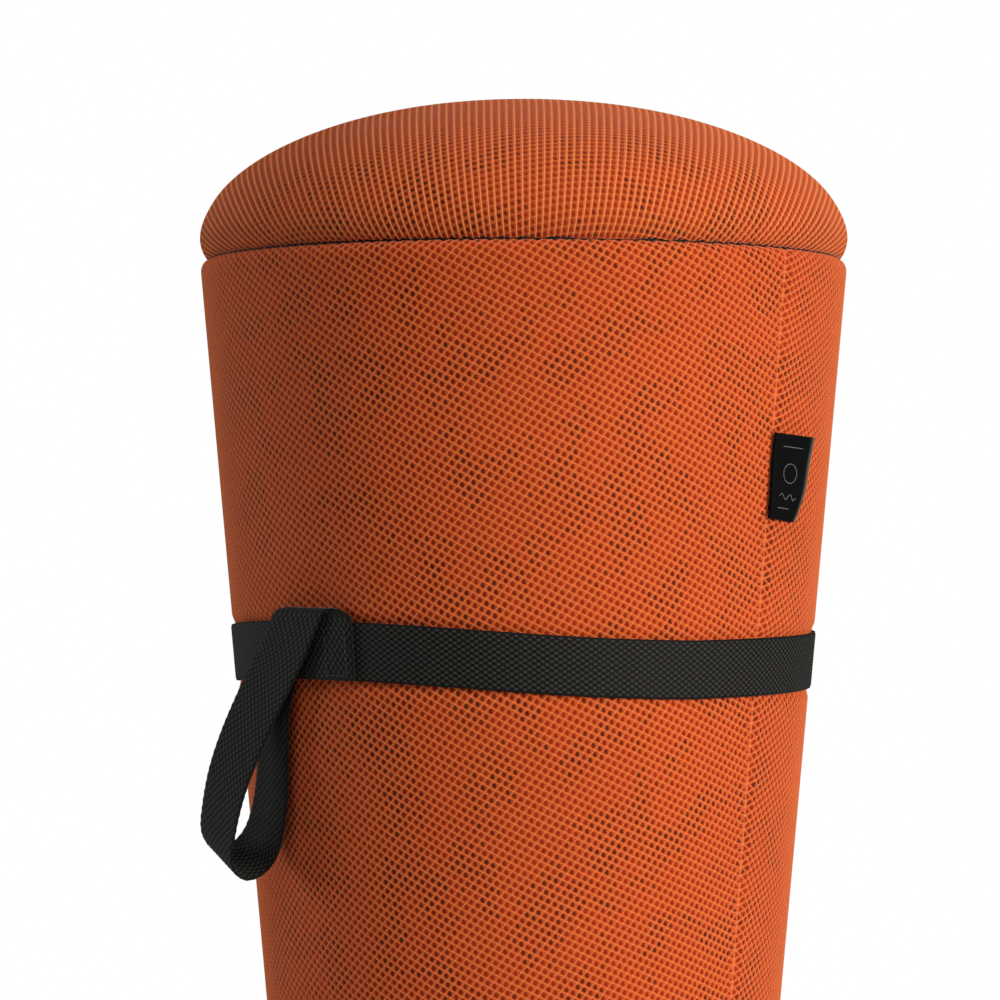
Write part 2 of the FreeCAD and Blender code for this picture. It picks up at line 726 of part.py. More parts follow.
def make_belt():
    """Webbing belt, level at the back and lifted in one long wave at the loop."""
    half = S["web_width"] / 2
    low, high = S["belt_level"] - half, S["belt_level"] + half
    reach, crest, lift = S["lift_reach"], S["lift_crest"], S["belt_lift"]
    band = cone_band("belt_band", S["belt_gap"], S["belt_gap"] + S["web_gauge"],
                     low - 2.0, high + lift + 2.0)
    wave = doc.addObject("Sketcher::SketchObject", "belt_wave_outline")
    wave.Placement = Placement(Vector(0, 0, 0), Rotation(Vector(1, 0, 0), 90))
    drop = lift * crest / (reach * 2 - crest)
    bend = (crest * crest + drop * drop) / (drop * 2)
    edge = dim(REACH)

    def wave_side(level, way):
        """One edge of the belt, walked along +X or -X: a straight slope up to the shoulder,
        the round crest, which the slopes meet smoothly, and a straight slope down."""
        shoulder = level + lift - drop
        return [(reach * -way, level), (crest * -way, shoulder, bend, way < 0),
                (crest * way, shoulder), (reach * way, level)]

    outline = [(-edge, low), *wave_side(low, 1), (edge, low),
               (edge, high), *wave_side(high, -1), (-edge, high)]
    draw_outline(wave, outline)
    front = doc.addObject("Part::Extrusion", "belt_front")
    front.Base = wave
    front.DirMode = "Custom"
    front.Dir = Vector(0, -1, 0)
    front.LengthFwd = REACH
    front.Solid = True
    back = make_box("belt_back", (-REACH, 0, low), (REACH, REACH, high))
    slab = join("Part::Fuse", "belt_slab", front, back)
    belt = join("Part::Common", "belt", band, slab)
    belt.Label = "belt"


# Middle line of the loop's web, from the rolled fold down the outer run, round the bottom
# and up along the body: (x, outward distance from the axis, height, turn of the web about
# the vertical in degrees). Outward is -Y.
LOOP_ROUTE = [
    (-14.5, 161.9, 364.0, 0),
    (-22.0, 162.0, 351.0, 0),
    (-42.0, 163.0, 320.0, 0),
    (-52.5, 165.5, 298.5, 0),
    (-59.8, 169.5, 275.5, 3),
    (-64.4, 171.0, 253.5, 6),
    (-67.0, 167.5, 239.5, 8),
    (-65.2, 160.0, 233.5, 9),
    (-58.5, 152.5, 237.5, 9),
    (-51.3, 149.7, 249.5, 9),
    (-46.6, 149.5, 269.0, 10),
    (-42.2, 152.0, 299.0, 12),
    (-37.8, 154.8, 324.0, 13),
    (-36.5, 155.8, 331.0, 13),
]
LOOP_SECTIONS = 44
WEB_TILT = 30.0  # the web's width rises this much away from the tab, in degrees


def loop_web():
    """The whole web of the loop as one solid: rectangles lofted along the route."""
    points = [Vector(x, -out, height) for x, out, height, _ in LOOP_ROUTE]
    route = Part.BSplineCurve()
    route.interpolate(Points=points)
    knots = [route.parameter(p) for p in points]
    half_width, half_gauge = S["web_width"].value / 2, S["web_gauge"].value / 2
    tilt = math.radians(WEB_TILT)
    length = route.length()
    wires = []
    for k in range(LOOP_SECTIONS):
        at = route.parameterAtDistance(length * k / (LOOP_SECTIONS - 1), knots[0])
        turn = math.radians(turn_at(at, knots))
        across = Vector(-math.cos(turn) * math.cos(tilt), math.sin(turn) * math.cos(tilt),
                        math.sin(tilt))
        along = route.tangent(at)[0]
        out = along.cross(across).normalize()
        centre = route.value(at)
        corners = [centre + across * (a * half_width) + out * (b * half_gauge)
                   for a, b in ((1, 1), (1, -1), (-1, -1), (-1, 1), (1, 1))]
        wires.append(Part.makePolygon(corners))
    return Part.makeLoft(wires, True, True)


def turn_at(at, knots):
    """The web's turn at a place on the route, in line between the route's points."""
    for k in range(len(knots) - 1):
        if at <= knots[k + 1] or k == len(knots) - 2:
            share = (at - knots[k]) / (knots[k + 1] - knots[k])
            low, high = LOOP_ROUTE[k][3], LOOP_ROUTE[k + 1][3]
            return low + (high - low) * min(1, max(0, share))


def level_slab(low, high):
    """A slab of space in front of the axis between two heights."""
    return Part.makeBox(2 * REACH, REACH, high - low, Vector(-REACH, -REACH, low))


def make_loop():
    """The web below the swing line moves; above it the web, tab and fold are sewn fast."""
    web = loop_web()
    hinge, gap = S["hinge_height"].value, S["hinge_gap"].value
    moving = doc.addObject("Part::Feature", "carry_loop")
    moving.Label = "carry_loop"
    moving.Shape = web.common(level_slab(200.0, hinge - gap)).Solids[0]
    sewn = doc.addObject("Part::Feature", "loop_upper_web")
    tuck = 1.5
    upper = web.common(level_slab(hinge + gap, S["fold_top"].value - 5.0))
    pieces = sorted(upper.Solids, key=lambda solid: solid.BoundBox.YMin)
    inner = pieces[-1].common(level_slab(hinge + gap, belt_foot().value - tuck))
    sewn.Shape = pieces[0]
    stub = doc.addObject("Part::Feature", "loop_lower_web")
    stub.Shape = inner
    return sewn, stub


def make_tab(outer_web, inner_web):
    """Sewn tab on the belt, the rolled fold above it and the fast ends of the web."""
    gauge = S["web_gauge"]
    first = S["belt_gap"] + gauge + 0.1
    low = belt_foot()
    belt_top = low + S["web_width"]
    tab_band = cone_band("tab_band", first, first + gauge, low - 5.0, S["fold_top"])
    tab_box = make_box("tab_box", (S["tab_left"], -REACH, low - 0.5),
                       (S["tab_left"] + S["web_width"], FRONT, S["fold_top"] - 2.0))
    tab = join("Part::Common", "tab_panel", tab_band, tab_box)
    fold_band = cone_band("fold_band", S["belt_gap"], first + gauge * 2, low, S["fold_top"] + 5.0)
    fold_box = make_box("fold_box", (S["fold_left"], -REACH, belt_top + 0.3),
                        (S["fold_right"], FRONT, S["fold_top"]))
    fold = join("Part::Common", "fold_roll", fold_band, fold_box)
    whole = doc.addObject("Part::MultiFuse", "loop_tab")
    whole.Shapes = [tab, fold, outer_web, inner_web]
    whole.Label = "loop_tab"


def make_tab_stitches():
    """The sewn box on the tab, standing a little proud of it."""
    gauge = S["web_gauge"]
    face = S["belt_gap"] + gauge * 2 + 0.1
    low = belt_foot() + 2.5
    left, right = S["tab_left"] + 14.0, S["tab_left"] + S["web_width"] - 3.0
    high = low + 24.0
    band = cone_band("stitch_band", face + 0.02, face + 0.5, low - 5.0, high + 5.0)
    outer = make_box("stitch_outer", (left, -REACH, low), (right, FRONT, high))
    thread = 0.8
    inner = make_box("stitch_inner", (left + thread, -REACH - 5, low + thread),
                     (right - thread, FRONT + 10, high - thread))
    frame = join("Part::Cut", "stitch_frame", outer, inner)
    stitches = join("Part::Common", "loop_stitches", band, frame)
    stitches.Label = "loop_stitches"


def make_label():
    """Folded woven label: two layers with a thicker folded edge, along the seam's line."""
    body = new_body("seam_label")
    gauge, width = S["label_gauge"], S["label_width"]
    sketch = new_sketch(body, "label_outline", "XY_Plane")
    bead, seam_gap = 0.8, 0.3
    bead_foot, bead_crest = width - 3.0, width - 1.6
    draw_outline(sketch, [
        (0, seam_gap),
        (gauge, seam_gap),
        (gauge, bead_foot),
        (gauge + bead / 2, bead_crest, gauge, True),
        (-bead / 2, bead_crest),
        (0, bead_foot),
    ])
    pad(body, "label", sketch, S["label_height"])
    lean = math.degrees(math.atan(S["cone_slope"].value))
    foot = Vector(cone_radius(S["label_foot"]).value + S["label_gap"].value, 0,
                  S["label_foot"].value)
    body.Placement = Placement(foot, Rotation(Vector(0, 1, 0), lean))
    bind(body, "Placement.Base.x", cone_radius(S["label_foot"]) + S["label_gap"])
    bind(body, "Placement.Base.z", S["label_foot"])


make_sole()
make_dish()
make_ballast()
make_clamp_ring()
make_base_screws()
make_shell()
make_foam()
make_cover()
make_seam_tape()
make_hem_cord("hem_cord_bottom", S["ring_bore"] + 14.5, S["ring_top"] + 2.0, 2.8)
make_hem_cord("hem_cord_top", S["hem_inner"] - 2.1, S["notch_height"] - 1.9, 3.6)
make_board()
make_seat_fixings()
make_seat_foams()
make_seat_cover()
make_staples()
make_belt()
make_tab(*make_loop())
make_tab_stitches()
make_label()
doc.recompute()

NODES = [
    "rocker_sole", "base_dish", "ballast_disc", "ballast_bolts", "ballast_washers",
    "clamp_ring", "base_screws", "body_shell", "body_foam", "body_cover", "seam_tape",
    "hem_cord_bottom", "hem_cord_top", "seat_board", "seat_tee_nuts", "seat_bolts",
    "seat_washers", "seat_foam_firm", "seat_foam_soft", "seat_cover", "seat_staples",
    "belt", "loop_tab", "loop_stitches", "carry_loop", "seam_label",
]

for thing in doc.Objects:
    if {"Invalid", "Error"} & set(thing.State):
        raise RuntimeError(f"{thing.Name} did not recompute: {thing.State}")

os.makedirs(NODE_FOLDER, exist_ok=True)
for node in NODES:
    shape = doc.getObjectsByLabel(node)[0].Shape
    if shape.isNull() or not shape.isValid() or not shape.Solids:
        raise RuntimeError(f"{node} has no valid solid")
    shape.exportStep(f"{NODE_FOLDER}/{node}.step")
    box = shape.BoundBox
    print(f"{node}: {len(shape.Solids)} solids, {shape.Volume:.0f} mm3,",
          f"z {box.ZMin:.1f} to {box.ZMax:.1f}")
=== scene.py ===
import math

import bpy
import numpy as np
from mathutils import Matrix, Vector


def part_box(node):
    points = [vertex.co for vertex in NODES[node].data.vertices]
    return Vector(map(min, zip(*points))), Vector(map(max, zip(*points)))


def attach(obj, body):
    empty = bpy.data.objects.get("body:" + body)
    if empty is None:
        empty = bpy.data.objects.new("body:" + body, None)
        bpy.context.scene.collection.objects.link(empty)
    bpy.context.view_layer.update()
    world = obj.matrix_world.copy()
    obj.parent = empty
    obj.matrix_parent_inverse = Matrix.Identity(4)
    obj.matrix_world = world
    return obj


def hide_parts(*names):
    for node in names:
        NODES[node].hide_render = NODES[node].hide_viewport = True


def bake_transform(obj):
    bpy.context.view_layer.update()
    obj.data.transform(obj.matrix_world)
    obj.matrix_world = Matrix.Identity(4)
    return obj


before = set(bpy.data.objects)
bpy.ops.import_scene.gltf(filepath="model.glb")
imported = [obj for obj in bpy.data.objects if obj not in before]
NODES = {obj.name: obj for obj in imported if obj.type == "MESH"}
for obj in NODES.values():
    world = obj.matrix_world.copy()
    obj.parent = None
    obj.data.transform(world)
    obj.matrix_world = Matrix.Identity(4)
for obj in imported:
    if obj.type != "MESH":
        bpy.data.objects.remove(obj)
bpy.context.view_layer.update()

RANDOM = np.random.default_rng(7)
TINY = 1e-9  # keeps a length that is divided by away from 0

# Upholstered active-sitting stool. Metres. Z is up, the carry loop is at -Y, the seam at +X.

# ---- sizes, as in the CAD where no comment says otherwise ----

CONE_BASE = 0.1261  # radius of the body cone where it would meet the floor
CONE_SLOPE = 0.0904
CONE_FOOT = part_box("body_cover")[0].z
CONE_TOP = 0.5463
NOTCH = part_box("body_cover")[1].z  # height of the groove between body and seat
NOTCH_RADIUS = 0.1716
SEAT_RADIUS = 0.176
DOME_LEVEL = 0.566
DOME_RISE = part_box("seat_cover")[1].z - DOME_LEVEL
LIP_ROUND = 0.022
WEB_WIDTH = 0.030
WEB_GAUGE = 0.0015
BELT_LEVEL = 0.337
BELT_LIFT = 0.0094
LIFT_CREST = 0.100
LIFT_REACH = 0.150
BELT_GAP = 0.0003
BELT_SINK = 0.0012  # how far the belt sinks into the cover
TAB_LEFT = -0.0135  # the tab's edges and the top of the fold, each 1 to 2 mm past the CAD's
TAB_RIGHT = 0.0193
FOLD_TOP = 0.3688
LABEL_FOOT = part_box("seam_label")[0].z
LABEL_HEIGHT = 0.044
LABEL_WIDTH = 0.0275  # half a millimetre under the CAD's
MILLIMETRES = 1000  # in a metre

# ---- small helpers ----


def cone_radius(height):
    return CONE_BASE + CONE_SLOPE * height


def smooth(value, low, high):
    """0 below low, 1 above high, with a soft step between."""
    share = np.clip((value - low) / (high - low), 0.0, 1.0)
    return share * share * (3.0 - 2.0 * share)


def full_turn(count):
    """Evenly spaced angles once round, without the last, which would repeat the first."""
    return np.linspace(0, 2 * math.pi, count, endpoint=False)


def round_axis(radius, turn, height):
    """Places at a radius, a turn and a height round the stool's axis, as (x, y, z)."""
    return np.stack(np.broadcast_arrays(radius * np.cos(turn), radius * np.sin(turn), height), -1)


def plain(values):
    """Plain lists, which Blender reads, from lists or arrays."""
    return values.tolist() if isinstance(values, np.ndarray) else values


def mesh_piece(name, points, faces, material, uv=None):
    """A smooth-shaded object from points, faces and one UV pair per point."""
    mesh = bpy.data.meshes.new(name)
    mesh.from_pydata(plain(points), [], plain(faces))
    mesh.update()
    mesh.polygons.foreach_set("use_smooth", [True] * len(mesh.polygons))
    if uv is not None:
        corners = np.empty(len(mesh.loops), dtype=np.int32)
        mesh.loops.foreach_get("vertex_index", corners)
        layer = mesh.uv_layers.new(name="Weave")
        layer.data.foreach_set("uv", np.asarray(uv, dtype=np.float32)[corners].ravel())
    mesh.materials.append(material)
    piece = bpy.data.objects.new(name, mesh)
    bpy.context.scene.collection.objects.link(piece)
    return piece


def grid_faces(rows, columns, closed=False):
    """Quads of a grid of points stored row by row; closed joins the last column to the first."""
    j, i = np.meshgrid(np.arange(rows - 1), np.arange(columns - (0 if closed else 1)), indexing="ij")
    right = (i + 1) % columns
    quads = [j * columns + i, j * columns + right, (j + 1) * columns + right, (j + 1) * columns + i]
    return np.stack(quads, axis=-1).reshape(-1, 4)


def close_both(rows, columns):
    """Quads of a grid that closes on itself both ways."""
    j, i = np.meshgrid(np.arange(rows), np.arange(columns), indexing="ij")
    below, right = (j + 1) % rows, (i + 1) % columns
    quads = [j * columns + i, below * columns + i, below * columns + right, j * columns + right]
    return np.stack(quads, axis=-1).reshape(-1, 4)


def band_faces(rows, ring):
    """Faces of a thin band whose every row goes there and back in a ring of points: its skin,
    then a strip of quads that closes each end."""
    near = [[i, i + 1, ring - 2 - i, ring - 1 - i] for i in range(ring // 2 - 1)]
    last = (rows - 1) * ring
    far = [[last + k for k in cap] for cap in near]
    return grid_faces(rows, ring, True).tolist() + [cap[::-1] for cap in near] + far


SETTLE_STEPS = 20
SWELL_PRESSURE = 0.6
SWELL_CAP = 0.0010  # the covers are taut, so no point moves further than this


def add_cloth(piece):
    """Taut cloth under pressure, held at the points of its group "pinned"."""
    cloth = piece.modifiers.new("Cloth", "CLOTH")
    cloth.settings.quality = 6
    cloth.settings.mass = 0.3
    cloth.settings.tension_stiffness = 40
    cloth.settings.compression_stiffness = 40
    cloth.settings.bending_stiffness = 2
    cloth.settings.use_pressure = True
    cloth.settings.uniform_pressure_force = SWELL_PRESSURE
    cloth.settings.vertex_group_mass = "pinned"
    cloth.settings.effector_weights.gravity = 0
    cloth.point_cache.frame_start = 1
    cloth.point_cache.frame_end = SETTLE_STEPS


def settle(points, pinned):
    """Inflates a coarse band of cloth, closed round the axis, between its pinned
    rows."""
    rows, columns = points.shape[:2]
    mesh = bpy.data.meshes.new("settling")
    mesh.from_pydata(plain(points.reshape(-1, 3)), [], plain(grid_faces(rows, columns, True)))
    piece = bpy.data.objects.new("settling", mesh)
    scene = bpy.context.scene
    scene.collection.objects.link(piece)
    group = piece.vertex_groups.new(name="pinned")
    group.add([r * columns + c for r in pinned for c in range(columns)], 1.0, "REPLACE")
    add_cloth(piece)
    for step in range(1, SETTLE_STEPS + 1):
        scene.frame_set(step)
    settled = piece.evaluated_get(bpy.context.evaluated_depsgraph_get())
    after = np.empty(rows * columns * 3, dtype=np.float32)
    settled.data.vertices.foreach_get("co", after)
    bpy.data.objects.remove(piece)
    bpy.data.meshes.remove(mesh)
    scene.frame_set(1)
    moved = after.reshape(rows, columns, 3) - points
    reach = np.linalg.norm(moved, axis=2, keepdims=True)
    return moved * np.minimum(1.0, SWELL_CAP / np.maximum(reach, TINY))


def outward_of(moved, points):
    """The part of each move that points away from the axis, at the level of the lowest point."""
    middle = np.array([0.0, 0.0, points[..., 2].min()])
    way = points - middle
    way = way / np.linalg.norm(way, axis=2, keepdims=True)
    return (moved * way).sum(axis=2)


def sample_ring(table, along, angle):
    """Reads a rows x columns table at fractional rows and at angles round the axis."""
    rows, columns = table.shape
    j = np.clip(along * (rows - 1), 0, rows - 1.001)
    i = (angle / (2 * math.pi) % 1.0) * columns
    j0, i0 = j.astype(int), i.astype(int) % columns
    i1 = (i0 + 1) % columns
    a, b = j - j0, i - np.floor(i)
    low = table[j0, i0] * (1 - b) + table[j0, i1] * b
    high = table[j0 + 1, i0] * (1 - b) + table[j0 + 1, i1] * b
    return low * (1 - a) + high * a


# ---- materials ----


class Graph:
    """A material's node tree, with short ways to add nodes and link them."""

    def __init__(self, name):
        self.material = bpy.data.materials.new(name)
        self.material.use_nodes = True
        self.tree = self.material.node_tree
        self.shader = self.tree.nodes["Principled BSDF"]

    def put(self, socket, value):
        if isinstance(value, bpy.types.NodeSocket):
            self.tree.links.new(value, socket)
        elif value is not None:
            socket.default_value = value

    def node(self, kind, **inputs):
        made = self.tree.nodes.new(kind)
        for key, value in inputs.items():
            self.put(made.inputs[key.replace("_", " ")], value)
        return made

    def math(self, operation, a, b=None):
        made = self.tree.nodes.new("ShaderNodeMath")
        made.operation = operation
        self.put(made.inputs[0], a)
        self.put(made.inputs[1], b)
        return made.outputs[0]

    def mix(self, share, a, b):
        made = self.tree.nodes.new("ShaderNodeMix")
        made.data_type = "RGBA"
        self.put(made.inputs["Factor"], share)
        self.put(made.inputs[6], a)
        self.put(made.inputs[7], b)
        return made.outputs[2]

    def step(self, value, low, high):
        made = self.node("ShaderNodeMapRange", Value=value, From_Min=low, From_Max=high)
        made.interpolation_type = "SMOOTHSTEP"
        return made.outputs[0]

    def noise(self, scale, detail=3.0):
        place = self.node("ShaderNodeTexCoord").outputs["Object"]
        return self.node("ShaderNodeTexNoise", Vector=place, Scale=scale, Detail=detail).outputs[0]

    def weave(self):
        """The two coordinates of the Weave UV map."""
        uv = self.tree.nodes.new("ShaderNodeUVMap")
        uv.uv_map = "Weave"
        split = self.node("ShaderNodeSeparateXYZ", Vector=uv.outputs[0])
        return split.outputs[0], split.outputs[1]

    def bump(self, height, distance, strength=1.0):
        made = self.node("ShaderNodeBump", Height=height, Distance=distance, Strength=strength)
        self.put(self.shader.inputs["Normal"], made.outputs[0])

    def finish(self, colour, **sockets):
        self.put(self.shader.inputs["Base Color"], colour)
        for key, value in sockets.items():
            self.put(self.shader.inputs[key.replace("_", " ")], value)
        return self.material


def colour(red, green, blue):
    """A colour given as it looks on a screen, 0 to 255, made linear for the shader."""
    def linear(part):
        part = part / 255
        return part / 12.92 if part <= 0.04045 else ((part + 0.055) / 1.055) ** 2.4
    return (linear(red), linear(green), linear(blue), 1.0)


def hole_mask(g, du, dv, width, height):
    """1 inside a hole and 0 on the yarns, at places du, dv from the middle of a cell."""
    x = g.math("MULTIPLY", g.math("SUBTRACT", du, dv), width / 2 / HOLE_HALF_WIDTH)
    y = g.math("MULTIPLY", g.math("ADD", du, dv), height / 2 / HOLE_HALF_HEIGHT)
    distance = g.math("SQRT", g.math("ADD", g.math("MULTIPLY", x, x), g.math("MULTIPLY", y, y)))
    return g.math("SUBTRACT", 1.0, g.step(distance, 0.72, 1.2))


def hole_colour_and_shade(g, cell_u, cell_v):
    """The colour inside a hole: the layer seen through it, darkened with painted shade, varying in
    patches and from hole to hole.
    """
    place = g.node("ShaderNodeCombineXYZ", X=cell_u, Y=cell_v)
    chance = g.node("ShaderNodeTexWhiteNoise", Vector=place.outputs[0]).outputs[0]
    patch = g.step(g.noise(42.0), 0.42, 0.62)
    shade = g.math("ADD", g.math("MULTIPLY", patch, 0.5), g.math("MULTIPLY", chance, 0.5))
    return g.mix(g.step(shade, 0.25, 1.0), colour(160, 47, 8), colour(92, 34, 8))


def mesh_fabric(name, width, height, ridge=0.0):
    """Orange spacer fabric. The Weave map counts holes along the two yarn directions; width and
    height are the diagonals of one cell in millimetres. The yarn lines and their crossings carry
    painted highlights. Ridge, from 0 to 1, paints highlights on the yarns that run in the first
    direction and painted shade in the strips between them."""
    g = Graph(name)
    u, v = g.weave()
    cell_u, cell_v = g.math("ROUND", u), g.math("ROUND", v)
    du, dv = g.math("SUBTRACT", u, cell_u), g.math("SUBTRACT", v, cell_v)
    off_u, off_v = g.math("ABSOLUTE", du), g.math("ABSOLUTE", dv)
    yarn = g.step(g.math("MAXIMUM", off_u, off_v), 0.36, 0.49)
    knot = g.step(g.math("MINIMUM", off_u, off_v), 0.26, 0.46)
    crest = g.step(off_v, 0.20, 0.46)
    between = g.math("SUBTRACT", 1.0, crest)
    fuzz = g.noise(900.0)
    cloth = g.mix(g.step(g.noise(14.0), 0.3, 0.7), colour(209, 76, 27), colour(218, 83, 31))
    cloth = g.mix(g.step(fuzz, 0.35, 0.75), cloth, colour(226, 96, 40))
    # painted highlights: the yarn lines and their crossings are painted lighter than the cloth
    cloth = g.mix(g.math("MULTIPLY", yarn, 0.5), cloth, colour(238, 130, 66))
    cloth = g.mix(g.math("MULTIPLY", knot, 0.6), cloth, colour(238, 134, 74))
    # painted shade in the strips between the first direction's yarns, and a painted highlight on
    # those yarns
    cloth = g.mix(g.math("MULTIPLY", between, ridge), cloth, colour(150, 50, 16))
    cloth = g.mix(g.math("MULTIPLY", crest, ridge), cloth, colour(250, 148, 80))
    # holes: the layer behind, darkened with painted shade
    cloth = g.mix(hole_mask(g, du, dv, width, height), cloth, hole_colour_and_shade(g, cell_u, cell_v))
    g.bump(g.math("ADD", g.math("MULTIPLY", fuzz, 0.3), yarn), 0.00035, 0.7)
    return g.finish(cloth, Roughness=0.85, Sheen_Weight=0.16, Sheen_Roughness=0.45,
                    Specular_IOR_Level=0.12)


def webbing(name):
    """Black polyester webbing, with painted highlights on the crests of its weave.
    The Weave map is in millimetres along and across the band.
    """
    g = Graph(name)
    along, across = g.weave()
    warp = g.math("COSINE", g.math("MULTIPLY", along, 2 * math.pi / WEAVE_LONG))
    weft = g.math("COSINE", g.math("MULTIPLY", across, 2 * math.pi / WEAVE_WIDE))
    # painted highlights: pale ticks on the crests of the weave, faded near the edges
    lit_crests = g.step(g.math("MULTIPLY", weft, warp), -0.35, 0.75)
    half = WEB_WIDTH * MILLIMETRES / 2
    selvedge = g.step(g.math("ABSOLUTE", across), half - 1.6, half - 0.4)
    lit_crests = g.math("MULTIPLY", lit_crests, g.math("SUBTRACT", 1.0, g.math("MULTIPLY", selvedge, 0.85)))
    strand = g.math("SINE", g.math("MULTIPLY", across, 6 * math.pi / WEAVE_WIDE))
    fuzz = g.noise(1400.0)
    body = g.mix(g.step(fuzz, 0.3, 0.8), colour(4, 4, 4), colour(9, 9, 8))
    lit = g.mix(lit_crests, body, colour(58, 54, 48))
    g.bump(g.math("ADD", lit_crests, g.math("MULTIPLY", strand, 0.15)), 0.0003, 0.9)
    return g.finish(lit, Roughness=0.7, Sheen_Weight=0.08, Sheen_Roughness=0.3,
                    Specular_IOR_Level=0.18)


def label_cloth():
    """Finely woven black satin ribbon, with a painted highlight along its rounded, folded edge."""
    g = Graph("label_satin")
    free_edge = LABEL_WIDTH * MILLIMETRES
    along, across = g.weave()
    ribs = g.math("SINE", g.math("MULTIPLY", across, 2 * math.pi / 0.45))
    threads = g.math("SINE", g.math("MULTIPLY", along, 2 * math.pi / 0.6))
    weave = g.math("MULTIPLY", ribs, threads)
    # painted highlight: a pale grey-green strip where the ribbon folds round at its free edge
    fold = g.step(along, free_edge - 3.2, free_edge - 1.0)
    cloth = g.mix(g.step(weave, 0.0, 1.0), colour(5, 5, 6), colour(13, 13, 14))
    cloth = g.mix(g.math("MULTIPLY", fold, 0.8), cloth, colour(88, 98, 92))
    g.bump(weave, 0.0001, 0.6)
    return g.finish(cloth, Roughness=0.7, Specular_IOR_Level=0.08)


def thread_material(name, dark, light):
    """Twisted sewing or embroidery thread."""
    g = Graph(name)
    return g.finish(g.mix(g.step(g.noise(2500.0), 0.35, 0.7), dark, light), Roughness=0.6,
                    Sheen_Weight=0.2)


def speckled(name, dark, light, scale, roughness, grain=0.0001, metallic=0.0):
    """Two tones mottled at a scale, with a fine grain in roughness and relief."""
    g = Graph(name)
    mottle, fine = g.noise(scale), g.noise(scale * 9)
    tone = g.mix(g.step(mottle, 0.35, 0.65), dark, light)
    rough = g.math("ADD", g.math("MULTIPLY", fine, 0.16), roughness - 0.08)
    g.bump(g.math("ADD", mottle, fine), grain, 0.6)
    return g.finish(tone, Roughness=rough, Metallic=metallic)


def plywood():
    """Birch plywood: growth rings on the faces, and plies with dark glue lines at the edge."""
    g = Graph("birch_plywood")
    place = g.node("ShaderNodeTexCoord").outputs["Object"]
    rings = g.node("ShaderNodeTexWave", Vector=place, Scale=14.0, Distortion=9.0, Detail=3.0)
    height = g.node("ShaderNodeSeparateXYZ", Vector=place).outputs[2]
    plies = g.math("SINE", g.math("MULTIPLY", height, 2 * math.pi / 0.0028))
    wood = g.mix(rings.outputs[1], colour(206, 172, 124), colour(222, 192, 148))
    wood = g.mix(g.math("MULTIPLY", g.step(plies, 0.75, 1.0), 0.6), wood, colour(120, 84, 50))
    return g.finish(wood, Roughness=0.62)


HOLE_HALF_WIDTH = 1.15  # of a hole in the fabric, in millimetres
HOLE_HALF_HEIGHT = 1.4
WEAVE_LONG = 4.4  # one cell of the webbing's weave along and across it, in millimetres
WEAVE_WIDE = 3.0
WEBBING = webbing("black_webbing")

CAD_FINISH = {
    "rocker_sole": lambda: speckled("sole_rubber", colour(26, 26, 27), colour(36, 36, 37), 60, 0.72,
                                    0.0003),
    "base_dish": lambda: speckled("dish_plastic", colour(34, 34, 36), colour(42, 42, 44), 90, 0.5),
    "ballast_disc": lambda: speckled("cast_iron", colour(74, 72, 70), colour(98, 94, 90), 70, 0.6,
                                     0.0004, 0.9),
    "clamp_ring": lambda: speckled("rim_plastic", colour(22, 22, 23), colour(30, 30, 31), 240, 0.46,
                                   0.00012),
    "body_shell": lambda: speckled("shell_plastic", colour(52, 52, 54), colour(62, 62, 64), 80, 0.5),
    "body_foam": lambda: speckled("grey_foam", colour(120, 118, 112), colour(148, 145, 138), 400,
                                  0.9, 0.0005),
    "seat_foam_firm": lambda: speckled("firm_foam", colour(70, 78, 92), colour(96, 104, 118), 500,
                                       0.9, 0.0005),
    "seat_foam_soft": lambda: speckled("soft_foam", colour(196, 190, 170), colour(216, 211, 192),
                                       450, 0.9, 0.0005),
    "seat_board": plywood,
    "seam_tape": lambda: speckled("seam_tape", colour(24, 23, 22), colour(38, 37, 35), 700, 0.8),
    "hem_cord_bottom": lambda: speckled("hem_cord", colour(196, 192, 184), colour(226, 222, 214),
                                        800, 0.8, 0.0003),
}
ZINC_NODES = ("ballast_bolts", "ballast_washers", "base_screws", "seat_tee_nuts", "seat_bolts",
              "seat_washers", "seat_staples")


def give(node, material):
    slots = NODES[node].data.materials
    slots.clear()
    slots.append(material)


def finish_cad_nodes():
    """Every CAD node that stays gets a procedural material of its own kind."""
    for node, make in CAD_FINISH.items():
        give(node, make())
    zinc = speckled("zinc_steel", colour(150, 152, 156), colour(186, 188, 192), 300, 0.36,
                    0.00005, 1.0)
    for node in ZINC_NODES:
        give(node, zinc)
    give("hem_cord_top", NODES["hem_cord_bottom"].data.materials[0])


# ---- fabric covers ----

BODY_CELL = (5.92, 4.66)  # width and height of a cell's diagonals, in millimetres
SEAT_CELL = (6.37, 5.02)
PIT = 0.0013  # depth of a hole in the fabric's face
SEAM_VALLEY = 0.0006
BODY_SLACK = 0.0004  # the covers start this much smaller, before they swell
SEAT_SLACK = 0.0011
SHOULDER_SLACK = 0.0009  # and the seat's shoulder by this much more
HEM_EDGE = 0.004  # this near a hem the fabric's last points are left where they fall
DOME_POINTS = 120  # of the seat's outline, on the dome
BELT_SLOPE = 0.006  # width of the slope in the cover beside the belt
HOLLOW_DEPTH = 0.0026  # of the hollow above the fold of the loop
HOLLOW_PLACE = (-0.004, 0.374)  # its middle's x and height
HOLLOW_REACH = (0.016, 0.012)
# painted shade: a thin black ring laid in the groove between body and seat to darken it
SHADOW_BAND_RADIUS = NOTCH_RADIUS - 0.0017
SHADOW_BAND_LEVEL = NOTCH - 0.0001
CAMERA_TURN = math.radians(40)  # the side the photograph is taken from, about Z from -Y to +X


